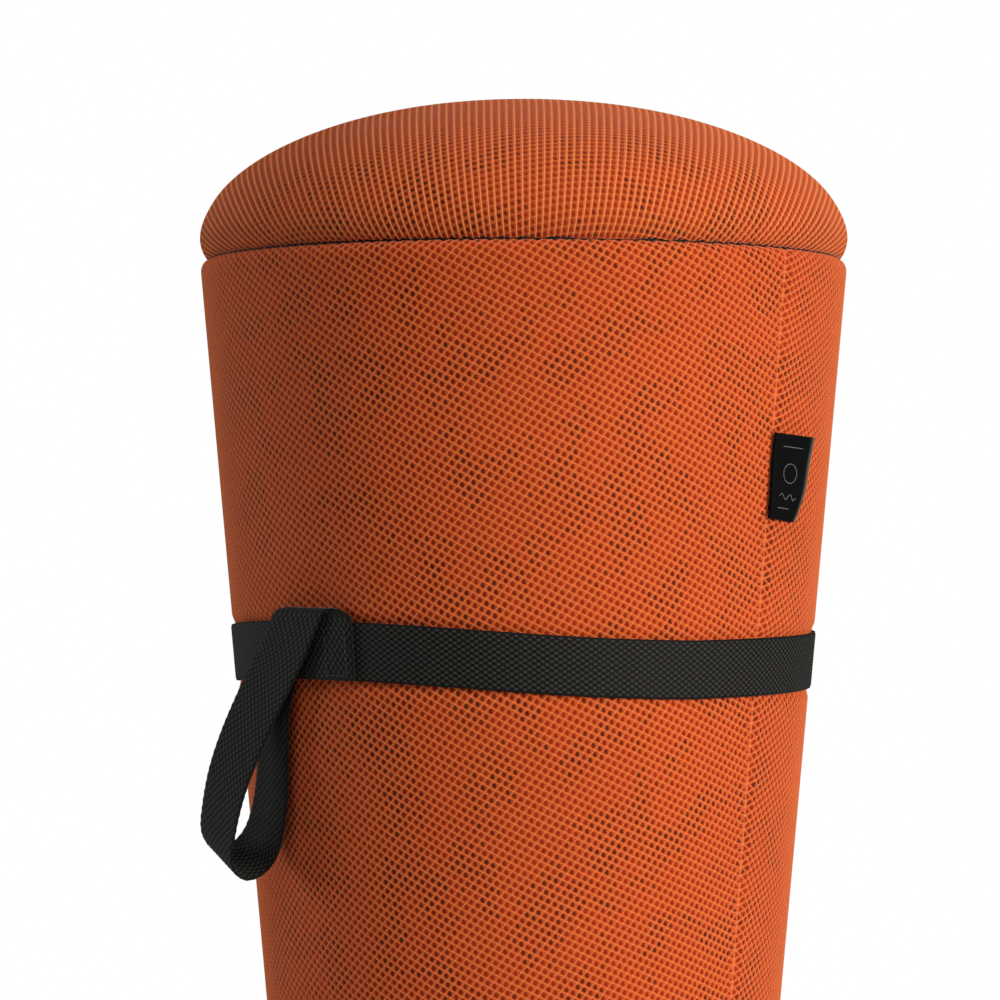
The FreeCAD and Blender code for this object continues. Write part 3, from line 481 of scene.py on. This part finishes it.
def arc_points(centre, radius, start, end, count):
    """Points on an arc in the (radius, height) plane, angles in degrees."""
    turns = np.radians(np.linspace(start, end, count))
    return np.stack([centre[0] + radius * np.cos(turns), centre[1] + radius * np.sin(turns)], 1)


def with_lengths(points, start):
    """A profile's points with the length along it at each, from start on."""
    steps = np.linalg.norm(np.diff(points, axis=0), axis=1)
    return points, start + np.concatenate([[0.0], np.cumsum(steps)])


def body_profile():
    """The body's outline, with lengths measured from the tip of its cone."""
    foot_round, top_round = 0.0025, 0.0066
    sine = math.sin(math.atan(CONE_SLOPE))
    wall_foot = CONE_FOOT + foot_round
    hem = np.array([[cone_radius(CONE_FOOT) - 0.009, CONE_FOOT]])
    foot = arc_points((cone_radius(wall_foot) - foot_round, wall_foot), foot_round, -90, 0, 6)
    top = arc_points((cone_radius(CONE_TOP) - top_round, CONE_TOP), top_round, 0, 80, 10)
    end = np.array([[NOTCH_RADIUS - 0.016, NOTCH]])
    points, lengths = with_lengths(np.concatenate([hem, foot, top, end]), 0.0)
    at_wall = lengths[len(hem) + len(foot) - 1]
    return points, lengths + cone_radius(wall_foot) / sine - at_wall


def seat_profile():
    """The seat's outline, with lengths measured from the top of the dome."""
    turns = np.linspace(0, math.pi / 2, DOME_POINTS)
    dome = np.stack([SEAT_RADIUS * np.sin(turns), DOME_LEVEL + DOME_RISE * np.cos(turns)], 1)
    drop = math.degrees(math.asin((DOME_LEVEL - NOTCH) / LIP_ROUND))
    lip = arc_points((SEAT_RADIUS - LIP_ROUND, DOME_LEVEL), LIP_ROUND, 0, -drop, 14)
    hem = np.array([[NOTCH_RADIUS - 0.014, NOTCH]])
    return with_lengths(np.concatenate([dome, lip[1:], hem]), 0.0)


def on_profile(points, lengths, along, side):
    """Radius, height and outward normal at lengths along a profile. side is 1 where the
    profile runs upward and -1 where it runs downward."""
    near = 0.0012

    def rise(values):
        return (np.interp(along + near, lengths, values)
                - np.interp(along - near, lengths, values))

    radius = np.interp(along, lengths, points[:, 0])
    height = np.interp(along, lengths, points[:, 1])
    dr, dz = rise(points[:, 0]), rise(points[:, 1])
    size = np.maximum(np.hypot(dr, dz), TINY)
    return radius, height, side * dz / size, -side * dr / size


def lattice(holes):
    """Points and triangles of a fabric face: a pit at each hole, ridges between the pits.
    Returns the points' lattice coordinates, which of them are holes, and the triangles."""
    around = np.array([[1, 1], [-1, 1], [-1, -1], [1, -1]])
    corners = (holes[:, None, :] * 2 + around).reshape(-1, 2)
    unique, place = np.unique(corners, axis=0, return_inverse=True)
    place = place.reshape(-1, 4) + len(holes)
    centre = np.arange(len(holes))
    faces = [np.stack([centre, place[:, k], place[:, (k + 1) % 4]], 1) for k in range(4)]
    coordinates = np.concatenate([holes.astype(float), unique / 2.0])
    is_hole = np.arange(len(coordinates)) < len(holes)
    return coordinates, is_hole, np.concatenate(faces)


def body_swell(points, lengths):
    """How far the body's fabric stands out between the hems and the belt that pinches it."""
    rows, columns = 34, 60
    along = np.linspace(lengths[0], lengths[-1], rows)
    radius, height, _, _ = on_profile(points, lengths, along, 1)
    grid = round_axis(radius[:, None], full_turn(columns), height[:, None])
    belt = [j for j in range(rows) if abs(height[j] - BELT_LEVEL) < WEB_WIDTH / 2]
    moved = settle(grid, [0, 1, *belt, rows - 2, rows - 1])
    return np.hypot(*(grid + moved)[..., :2].transpose(2, 0, 1)) - radius[:, None]


def pit_depths(is_hole):
    """How deep each point of a fabric's face lies: the holes are pits, of uneven depth."""
    return np.where(is_hole, PIT, 0.0) * (0.85 + 0.3 * RANDOM.random(len(is_hole)))


def body_lattice(near, far):
    """The body's lattice, laid out flat on the cone's development from the length near to far
    from its tip. Returns its coordinates, which points are holes, its triangles, and each
    point's length from the tip and turn from the side opposite the seam."""
    sine = math.sin(math.atan(CONE_SLOPE))
    half_width, half_height = (size / 2 / MILLIMETRES for size in BODY_CELL)
    columns = int(far * math.sin(math.pi * sine) / half_width) + 2
    first, last = int(near * 0.9 / half_height), int(far / half_height) + 2
    across, up = np.meshgrid(np.arange(-columns, columns + 1), np.arange(first, last))
    whole = (across + up) % 2 == 0
    across, up = across[whole], up[whole]

    def roll_up(x, y):
        reach, turn = np.hypot(x, y), np.arctan2(x, y) / sine
        return reach, turn, (math.pi - np.abs(turn)) * reach * sine

    reach, turn, to_seam = roll_up(across * half_width, up * half_height)
    inside = (reach > near) & (reach < far) & (to_seam > half_width * 0.4)
    across, up = across[inside], up[inside]
    coordinates, is_hole, faces = lattice(np.stack([(up + across) // 2, (up - across) // 2], 1))
    reach, turn, to_seam = roll_up((coordinates[:, 0] - coordinates[:, 1]) * half_width,
                                   (coordinates[:, 0] + coordinates[:, 1]) * half_height)
    uses = np.bincount(faces.ravel(), minlength=len(reach))
    loose = ~is_hole & (uses < 8) & (reach > near + HEM_EDGE) & (reach < far - HEM_EDGE)
    loose &= to_seam < half_width * 2.6
    turn = np.where(loose | (np.abs(turn) > math.pi), math.pi * np.sign(turn), turn)
    return coordinates, is_hole, faces, np.clip(reach, near, far), turn


def make_body_cover():
    """The wrap-around cover, whose rows meet mirrored in the one vertical seam."""
    points, lengths = body_profile()
    near, far = lengths[0], lengths[-1]
    coordinates, is_hole, faces, reach, turn = body_lattice(near, far)
    radius, height, out, up_out = on_profile(points, lengths, reach, 1)
    angle = math.pi + turn
    swell = sample_ring(body_swell(points, lengths), (reach - near) / (far - near), angle)
    swell = swell - BODY_SLACK
    from_seam = (math.pi - np.abs(turn)) * radius
    hem = smooth(height, CONE_FOOT, CONE_FOOT + 0.012) * (1 - smooth(height, CONE_TOP, NOTCH))
    depth = pit_depths(is_hole)
    depth += SEAM_VALLEY * (1 - smooth(from_seam, 0.0, 0.0035)) * hem
    depth += press_of_belt(radius * np.cos(angle), height, np.sin(angle) < 0) * hem
    radius = radius - depth * out + swell * hem
    height = height - depth * up_out
    cover = mesh_piece("body_fabric", round_axis(radius, angle, height), faces,
                       mesh_fabric("body_mesh", *BODY_CELL), coordinates)
    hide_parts("body_cover")
    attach(cover, "stool")


def press_of_belt(x, height, front):
    """How far the cover is pressed in: most under the belt, a little beside it, and in a
    hollow above the fold of the loop."""
    off = np.abs(height - belt_middle(x, front))
    press = BELT_SINK + BELT_GAP
    band = press * (1 - smooth(off, WEB_WIDTH / 2, WEB_WIDTH / 2 + BELT_SLOPE))
    aside, above = x - HOLLOW_PLACE[0], height - HOLLOW_PLACE[1]
    hollow = HOLLOW_DEPTH * np.exp(-(aside / HOLLOW_REACH[0]) ** 2 - (above / HOLLOW_REACH[1]) ** 2)
    return band + hollow * front


def seat_swell(points, lengths):
    """How far the seat's fabric stands out over its foam, with the hem held."""
    rows, columns = 26, 48
    along = np.linspace(0.004, lengths[-1], rows)
    radius, height, _, _ = on_profile(points, lengths, along, -1)
    grid = round_axis(radius[:, None], -full_turn(columns), height[:, None])
    moved = settle(grid, [rows - 4, rows - 3, rows - 2, rows - 1])
    return outward_of(moved, grid)[:, ::-1]


def make_seat_cover():
    """The domed cover, one sheet stretched from the top outward. One set of its yarns runs
    towards the camera's side, the other at a little over a right angle to that."""
    points, lengths = seat_profile()
    far = lengths[-1]
    side = math.hypot(*SEAT_CELL) / 2 / MILLIMETRES
    slant = 2 * math.atan2(SEAT_CELL[0], SEAT_CELL[1])
    first = CAMERA_TURN - math.pi / 2
    yarn_a = side * np.array([math.cos(first), math.sin(first)])
    yarn_b = side * np.array([math.cos(first + slant), math.sin(first + slant)])
    count = int(far / side * 1.35)
    a, b = np.meshgrid(np.arange(-count, count + 1), np.arange(-count, count + 1))
    flat = a[..., None] * yarn_a + b[..., None] * yarn_b
    inside = np.hypot(flat[..., 0], flat[..., 1]) < far - 0.002
    coordinates, is_hole, faces = lattice(np.stack([a[inside], b[inside]], 1))
    flat = coordinates[:, :1] * yarn_a + coordinates[:, 1:] * yarn_b
    reach = np.minimum(np.hypot(flat[:, 0], flat[:, 1]), far)
    angle = np.arctan2(flat[:, 1], flat[:, 0])
    radius, height, out, up_out = on_profile(points, lengths, reach, -1)
    share = reach / lengths[DOME_POINTS]  # 1 at the dome's widest line
    slack = SEAT_SLACK + SHOULDER_SLACK * smooth(share, 0.3, 0.8)
    slack *= 1 - smooth(share, 0.9, 1.03)
    swell = sample_ring(seat_swell(points, lengths), reach / far, angle)
    depth = pit_depths(is_hole)
    depth += slack - swell
    radius = radius - depth * out
    height = height - depth * up_out
    cover = mesh_piece("seat_fabric", round_axis(radius, angle, height), faces,
                       mesh_fabric("seat_mesh", *SEAT_CELL, 0.5), coordinates)
    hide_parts("seat_cover")
    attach(cover, "stool")


def make_groove_shadow_band():
    """A thin black ring at the bottom of the groove between body and seat: painted shade that
    darkens the groove.
    """
    sides, columns, ripples = 8, 240, 60
    turn, roll = np.meshgrid(full_turn(columns), full_turn(sides), indexing="ij")
    thick = 0.0009 + 0.00005 * np.sin(turn * ripples)
    points = round_axis(SHADOW_BAND_RADIUS + thick * np.cos(roll), turn,
                        SHADOW_BAND_LEVEL + thick * np.sin(roll))
    # near-black: the groove's painted shade
    shadow_paint = speckled("groove_shadow_band", colour(5, 4, 4), colour(12, 9, 8), 900, 0.85)
    shadow_band = mesh_piece("groove_shadow_band", points.reshape(-1, 3), close_both(columns, sides), shadow_paint)
    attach(shadow_band, "stool")


# ---- webbing ----

WEAVE_STEP = WEAVE_LONG / 4 / MILLIMETRES  # between points along the web, a quarter of a cell
WEB_COUNT = 41  # points across the web, also a quarter of a cell apart
WEAVE_RELIEF = 0.00018


def weave_relief(along, across):
    """Rise and fall of the webbing's face, at places in millimetres along and across it."""
    waves = np.cos(2 * math.pi * across / WEAVE_WIDE) * np.cos(2 * math.pi * along / WEAVE_LONG)
    return WEAVE_RELIEF * waves


def thinned_edge(place):
    """How much half the web's thickness shrinks at a place across it, from -1 to 1."""
    return 0.0004 * smooth(np.abs(place), 0.9, 1.0)


def belt_middle(x, front):
    """Height of the belt's middle: level, with one long wave over the loop at the front."""
    drop = BELT_LIFT * LIFT_CREST / (2 * LIFT_REACH - LIFT_CREST)
    crest = BELT_LIFT - drop * (x / LIFT_CREST) ** 2
    slope = (BELT_LIFT - drop) * (LIFT_REACH - np.abs(x)) / (LIFT_REACH - LIFT_CREST)
    wave = np.where(np.abs(x) < LIFT_CREST, crest, np.maximum(slope, 0))
    return BELT_LEVEL + np.where(front, wave, 0.0)


def make_belt():
    """The belt round the body, its weave in relief."""
    rows = int(round(2 * math.pi * cone_radius(BELT_LEVEL) / WEAVE_STEP / 2)) * 2
    front = np.linspace(-1, 1, WEB_COUNT)
    face = np.repeat([1.0, -1.0], WEB_COUNT)
    turn, place = np.meshgrid(math.radians(-88) + full_turn(rows),
                              np.concatenate([front, front[::-1]]), indexing="ij")
    middle = belt_middle(cone_radius(BELT_LEVEL) * np.cos(turn), np.sin(turn) < 0)
    height = middle + place * WEB_WIDTH / 2
    along = np.arange(rows)[:, None] * WEAVE_STEP * MILLIMETRES
    across = place * WEB_WIDTH * MILLIMETRES / 2
    relief = np.where(face > 0, weave_relief(along, across), 0)
    outward = BELT_GAP - BELT_SINK + WEB_GAUGE / 2
    outward = outward + face * (WEB_GAUGE / 2 - thinned_edge(place)) + relief
    points = round_axis(cone_radius(height) + outward, turn, height)
    uv = np.stack(np.broadcast_arrays(along, across), -1)
    belt = mesh_piece("belt_webbing", points.reshape(-1, 3), close_both(rows, len(face)), WEBBING,
                      uv.reshape(-1, 2))
    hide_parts("belt")
    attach(belt, "stool")


# Middle line of the loop's web, as in the CAD but tucked in behind the belt at its end:
# (x, distance in front of the axis, height, turn about the vertical in degrees).
LOOP_ROUTE = [
    (-0.0145, 0.1619, 0.3640, 0),
    (-0.0220, 0.1620, 0.3510, 0),
    (-0.0420, 0.1630, 0.3200, 0),
    (-0.0525, 0.1655, 0.2985, 0),
    (-0.0598, 0.1695, 0.2755, 3),
    (-0.0644, 0.1710, 0.2535, 6),
    (-0.0670, 0.1675, 0.2395, 8),
    (-0.0652, 0.1600, 0.2335, 9),
    (-0.0585, 0.1525, 0.2375, 9),
    (-0.0513, 0.1497, 0.2495, 9),
    (-0.0466, 0.1495, 0.2690, 10),
    (-0.0422, 0.1520, 0.2990, 12),
    (-0.0378, 0.1548, 0.3240, 13),
    (-0.0362, 0.1534, 0.3345, 13),
]
WEB_TILT = math.radians(30)
LEVEL_CUT = 0.3620  # height where the slanting web comes out of the fold
LEAD = 0.012  # the middle line starts this much earlier, straight on from its first stretch
TAB_SIT = 0.0018  # the web lies this much further out where it is on the tab


def natural_spline(knots, values, at):
    """A smooth curve through values at knots, free at both ends, read at places."""
    h = np.diff(knots)[:, None]
    count = len(knots)
    system = np.zeros((count, count))
    right = np.zeros_like(values)
    system[0, 0] = system[-1, -1] = 1
    for k in range(1, count - 1):
        system[k, k - 1:k + 2] = h[k - 1, 0], 2 * (h[k - 1, 0] + h[k, 0]), h[k, 0]
        right[k] = 6 * ((values[k + 1] - values[k]) / h[k] - (values[k] - values[k - 1]) / h[k - 1])
    bend = np.linalg.solve(system, right)
    k = np.clip(np.searchsorted(knots, at) - 1, 0, count - 2)
    step, a = h[k], (knots[k + 1] - at)[:, None]
    b = (at - knots[k])[:, None]
    curve = (bend[k] * a**3 + bend[k + 1] * b**3) / (6 * step)
    return (curve + (values[k] / step - bend[k] * step / 6) * a
            + (values[k + 1] / step - bend[k + 1] * step / 6) * b)


def loop_edges():
    """Left and right edge of the slanting web, station by station, from the fold on."""
    route = np.array([(x, -out, z) for x, out, z, _ in LOOP_ROUTE])
    knots = np.concatenate([[0], np.cumsum(np.linalg.norm(np.diff(route, axis=0), axis=1))])
    turns = np.array([turn for *_, turn in LOOP_ROUTE], dtype=float)
    start = np.array([route[0] - (route[1] - route[0]) / knots[1] * LEAD])
    first = (route[0, 2] - LEVEL_CUT) / (route[0, 2] - route[1, 2]) * knots[1]
    route, knots = np.concatenate([start, route]), np.concatenate([[-LEAD], knots])
    turns = np.concatenate([turns[:1], turns])
    route[:3, 1] -= TAB_SIT * np.array([1.0, 1.0, 0.7])
    slip = WEB_WIDTH / 2 * math.tan(WEB_TILT)
    stations = np.arange(first, knots[-1], WEAVE_STEP)

    def edge(way):
        skew = way * slip * (1 - smooth(stations, first, first + 0.045))
        at = np.minimum(stations + skew, knots[-1])
        turn = np.radians(np.interp(at, knots, turns))
        across = np.stack([-np.cos(turn) * math.cos(WEB_TILT), np.sin(turn) * math.cos(WEB_TILT),
                           np.full(len(at), math.sin(WEB_TILT))], 1)
        return natural_spline(knots, route, at) + across * (way * WEB_WIDTH / 2)

    return edge(1), edge(-1)


def loop_middle():
    """The middle of the loop's web, row by row: the sewn tab, the fold over the belt's upper
    edge, the outer run, the bottom bend and the inner run up behind the belt."""
    share = np.linspace(0, 1, WEB_COUNT)[None, :, None]
    left, right = loop_edges()
    run = left[:, None, :] * (1 - share) + right[:, None, :] * share
    heights = np.arange(BELT_LEVEL + BELT_LIFT - WEB_WIDTH / 2, LEVEL_CUT, WEAVE_STEP)[:, None]
    x = np.linspace(TAB_LEFT, TAB_RIGHT, WEB_COUNT)
    radius = cone_radius(heights) + BELT_GAP - BELT_SINK / 2 + 1.5 * WEB_GAUGE
    tab = np.stack(np.broadcast_arrays(x, -np.sqrt(radius**2 - x**2), heights), -1)
    turns = np.linspace(0, math.pi, 14)[1:-1][:, None, None]
    swing = (1 - np.cos(turns)) / 2
    fold = tab[-1] * (1 - swing) + run[0] * swing
    fold = fold + np.sin(turns) * np.array([0, -0.0004, FOLD_TOP - WEB_GAUGE / 2 - LEVEL_CUT])
    return np.concatenate([tab, fold, run])


def make_loop():
    """The whole web of the loop as one band, which bends where the loop swings."""
    middle = loop_middle()
    out = np.cross(np.gradient(middle, axis=0), np.gradient(middle, axis=1))
    out /= np.linalg.norm(out, axis=2, keepdims=True)
    length = np.arange(len(middle))[:, None] * WEAVE_STEP * MILLIMETRES
    place = np.linspace(-WEB_WIDTH, WEB_WIDTH, WEB_COUNT) * MILLIMETRES / 2
    relief = weave_relief(length, place)[..., None]
    thinned = thinned_edge(np.linspace(-1, 1, WEB_COUNT))[None, :, None]
    front = middle + out * (WEB_GAUGE / 2 - thinned + relief)
    back = middle - out * (WEB_GAUGE / 2 - thinned + relief)
    ring = np.concatenate([front, back[:, ::-1]], axis=1)
    uv = np.stack(np.broadcast_arrays(length, np.concatenate([place, place[::-1]])), -1)
    loop_piece = mesh_piece("loop_webbing", ring.reshape(-1, 3),
                            band_faces(len(middle), 2 * WEB_COUNT), WEBBING, uv.reshape(-1, 2))
    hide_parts("carry_loop", "loop_tab")
    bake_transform(loop_piece)


def capsules(name, segments, radius, material):
    """Short thread stitches: a rounded, slightly arched tube for each pair of points."""
    points, faces = [], []
    sides, rings = 8, 7
    for start, end, out in segments:
        start, end, out = Vector(start), Vector(end), Vector(out).normalized()
        way = (end - start).normalized()
        side = way.cross(out).normalized()
        base = len(points)
        for k in range(rings):
            share = k / (rings - 1)
            thick = radius * max(0.15, math.sin(math.pi * min(0.5, 1.6 * min(share, 1 - share))))
            centre = start.lerp(end, share) + out * radius * 0.8 * math.sin(math.pi * share)
            for s in range(sides):
                turn = 2 * math.pi * s / sides
                points.append(centre + (side * math.cos(turn) + out * math.sin(turn)) * thick)
        for k in range(rings - 1):
            for s in range(sides):
                a, b = base + k * sides + s, base + k * sides + (s + 1) % sides
                faces.append([a, a + sides, b + sides, b])
        faces.append([base + s for s in range(sides)])
        faces.append([base + (rings - 1) * sides + s for s in reversed(range(sides))])
    return mesh_piece(name, [tuple(p) for p in points], faces, material)


def make_tab_stitches():
    """The sewn box on the tab: separate stitches along its four sides."""
    low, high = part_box("loop_stitches")
    pitch, length = 0.0031, 0.0023
    lead = 0.13  # of a pitch, before each stitch

    def on_tab(x, z):
        radius = cone_radius(z) + BELT_GAP + 2 * WEB_GAUGE - 0.0003
        return (x, -math.sqrt(radius**2 - x**2), z)

    corners = [(low.x, low.z), (high.x, low.z), (high.x, high.z), (low.x, high.z)]
    segments = []
    for (x0, z0), (x1, z1) in zip(corners, corners[1:] + corners[:1]):
        size = math.hypot(x1 - x0, z1 - z0)
        count = int(size / pitch)
        for k in range(count):
            a, b = (k + lead) / count, (k + lead + length / pitch * 0.95) / count
            ends = [on_tab(x0 + (x1 - x0) * s, z0 + (z1 - z0) * s) for s in (a, b)]
            segments.append((*ends, (ends[0][0], ends[0][1], 0)))
    thread = thread_material("black_thread", colour(7, 7, 7), colour(20, 20, 19))
    stitches = capsules("tab_stitches", segments, 0.00028, thread)
    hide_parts("loop_stitches")
    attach(stitches, "stool")


# ---- label ----

LABEL_HALF = 0.0006  # half its thickness
LABEL_OUT = 0.0012  # how far its middle stands out of the cone at the seam
LABEL_ROOT = 0.0014  # how deep it is held in the seam
LABEL_SAG = 0.09  # drop of its free edge per metre of width
LABEL_LIFT = math.radians(13)  # how far its upper corner stands away from the body
LABEL_TUCK = 0.0028  # how much further back its free edge lies at the foot


def on_label(width, height, out=0.0):
    """A place on the label's middle surface: width from the seam, height from its foot. It
    follows the body at the foot and stands away from it at the top."""
    share = height / LABEL_HEIGHT
    lift = LABEL_LIFT * share**0.6
    level = LABEL_FOOT + height - LABEL_SAG * width
    body = cone_radius(level) + LABEL_OUT
    curl = width / body * (1 - 0.6 * share)
    x = body + width * math.sin(lift) - body * (1 - math.cos(curl)) + 0.0004 * math.sin(7 * share)
    tuck = LABEL_TUCK * (1 - smooth(share, 0.0, 0.5)) * width / LABEL_WIDTH
    y = width * math.cos(lift) - LABEL_ROOT - tuck
    normal = Vector((math.cos(lift - curl), -math.sin(lift - curl), -CONE_SLOPE)).normalized()
    return Vector((x, y, level)) + normal * out


def make_label():
    """Two layers of ribbon, folded round at the free edge and caught in the seam."""
    rows, columns = 56, 36
    outline = []
    for k in range(columns):
        width = LABEL_WIDTH * k / (columns - 1)
        bead = 0.0004 * smooth(width, LABEL_WIDTH - 0.0035, LABEL_WIDTH - 0.0012)
        round_end = smooth(width, LABEL_WIDTH - 0.0008, LABEL_WIDTH)
        outline.append((width, (LABEL_HALF + bead) * (1 - 0.85 * round_end)))
    section = [(w, t, 1) for w, t in outline] + [(w, t, -1) for w, t in reversed(outline)]
    points, uv = [], []
    for j in range(rows):
        height = LABEL_HEIGHT * j / (rows - 1)
        for width, thick, face in section:
            points.append(on_label(width, height, face * thick))
            uv.append((width * MILLIMETRES, height * MILLIMETRES))
    label = mesh_piece("label_ribbon", [tuple(p) for p in points],
                       band_faces(rows, len(section)), label_cloth(), uv)
    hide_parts("seam_label")
    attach(label, "seam_label")


def make_label_motif():
    """A generic woven mark: a ring, with a bar above it and a wave and a bar below."""
    segments = []

    def stroke(path):
        """A line of stitches through places on the label, in millimetres."""
        for pair in zip(path, path[1:]):
            ends = [on_label(width / MILLIMETRES, height / MILLIMETRES, LABEL_HALF + 0.00005)
                    for width, height in pair]
            segments.append((*ends, (1, 0, 0)))

    turns = [2 * math.pi * k / 28 for k in range(29)]
    stroke([(13 + 5.0 * math.cos(t), 24 + 5.0 * math.sin(t)) for t in turns])
    stroke([(6 + k * 0.7, 12 + 1.4 * math.sin(k * 0.63)) for k in range(21)])
    stroke([(6 + k, 37.5) for k in range(15)])
    stroke([(6 + k, 6.0) for k in range(11)])
    pale = thread_material("label_thread", colour(92, 84, 84), colour(150, 142, 140))
    motif = capsules("label_motif", segments, 0.00022, pale)
    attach(motif, "seam_label")


# ---- studio ----

CAMERA_DISTANCE = 1.875
CAMERA_HEIGHT = 0.4231
CAMERA_SHIFT = 0.0128  # to the left, so that the stool is right of the middle
AIM = Vector((0, 0, 0.38))  # where the lamps point
SURROUNDINGS = 0.085  # strength of the light from all round, not counting the lamps
SURROUNDINGS_TINT = (0.84, 0.98, 1.0, 1.0)
WHITE = (1.0, 1.0, 1.0, 1.0)


def studio_place(turn, distance, height):
    """A place round the stool: turn in degrees from the camera's side, positive to its right."""
    angle = CAMERA_TURN + math.radians(turn)
    return Vector((distance * math.sin(angle), -distance * math.cos(angle), height))


def softbox(name, turn, distance, height, width, power, tint=(1, 1, 1)):
    """A square lamp that faces the middle of the stool."""
    light = bpy.data.lights.new(name, "AREA")
    light.shape = "SQUARE"
    light.size = width
    light.energy = power
    light.color = tint
    lamp = bpy.data.objects.new(name, light)
    lamp.location = studio_place(turn, distance, height)
    lamp.rotation_euler = (AIM - lamp.location).to_track_quat("-Z", "Y").to_euler()
    lamp.visible_camera = False
    bpy.context.scene.collection.objects.link(lamp)


def make_lights():
    """A key lamp on the right, a faint one far round on the left, and one above the camera."""
    softbox("key", 50, distance=2.5, height=0.85, width=0.9, power=53.5)
    softbox("left_rim", -100, distance=2.2, height=0.6, width=0.6, power=13, tint=(0.86, 1.0, 1.0))
    softbox("overhead", 0, distance=1.2, height=2.4, width=1.4, power=19)


def make_world():
    """White behind the stool, and a dim, slightly cool light on it from all round."""
    world = bpy.data.worlds.new("studio")
    world.use_nodes = True
    tree = world.node_tree
    shade = tree.nodes["Background"]
    seen = tree.nodes.new("ShaderNodeLightPath").outputs["Is Camera Ray"]
    strength = tree.nodes.new("ShaderNodeMapRange")
    strength.inputs["To Min"].default_value = SURROUNDINGS
    strength.inputs["To Max"].default_value = 1.0
    tree.links.new(seen, strength.inputs["Value"])
    tree.links.new(strength.outputs[0], shade.inputs["Strength"])
    tint = tree.nodes.new("ShaderNodeMix")
    tint.data_type = "RGBA"
    tint.inputs["A"].default_value = SURROUNDINGS_TINT
    tint.inputs["B"].default_value = WHITE
    tree.links.new(seen, tint.inputs["Factor"])
    tree.links.new(tint.outputs["Result"], shade.inputs["Color"])
    bpy.context.scene.world = world
    bpy.context.scene.view_settings.view_transform = "Standard"


def make_floor():
    """A round pale floor, a hair under the stool."""
    radius, rings, sides, drop = 0.98, 12, 96, 0.0002
    points = [(0, 0, 0)]
    for k in range(1, rings + 1):
        for s in range(sides):
            turn, reach = 2 * math.pi * s / sides, radius * k / rings
            points.append((reach * math.cos(turn), reach * math.sin(turn), 0))
    faces = [[0, 1 + s, 1 + (s + 1) % sides] for s in range(sides)]
    for k in range(rings - 1):
        for s in range(sides):
            a, b = 1 + k * sides + s, 1 + k * sides + (s + 1) % sides
            faces.append([a, a + sides, b + sides, b])
    paint = speckled("studio_floor", colour(236, 236, 235), colour(240, 240, 239), 3, 0.8, 0.00002)
    floor = mesh_piece("studio_floor", points, faces, paint)
    floor.location.z = -drop


def make_camera():
    """Level, from the loop's right, at the height and distance of the photograph."""
    lens = bpy.data.cameras.new("camera")
    lens.sensor_width = 36.0
    lens.lens = 123.9
    camera = bpy.data.objects.new("camera", lens)
    right = Vector((math.cos(CAMERA_TURN), math.sin(CAMERA_TURN), 0))
    camera.location = studio_place(0, CAMERA_DISTANCE, CAMERA_HEIGHT) - right * CAMERA_SHIFT
    camera.rotation_euler = (math.pi / 2, 0, CAMERA_TURN)
    bpy.context.scene.collection.objects.link(camera)
    bpy.context.scene.camera = camera


finish_cad_nodes()
make_body_cover()
make_seat_cover()
make_groove_shadow_band()
make_belt()
make_loop()
make_tab_stitches()
make_label()
make_label_motif()
make_floor()
make_world()
make_lights()
make_camera()
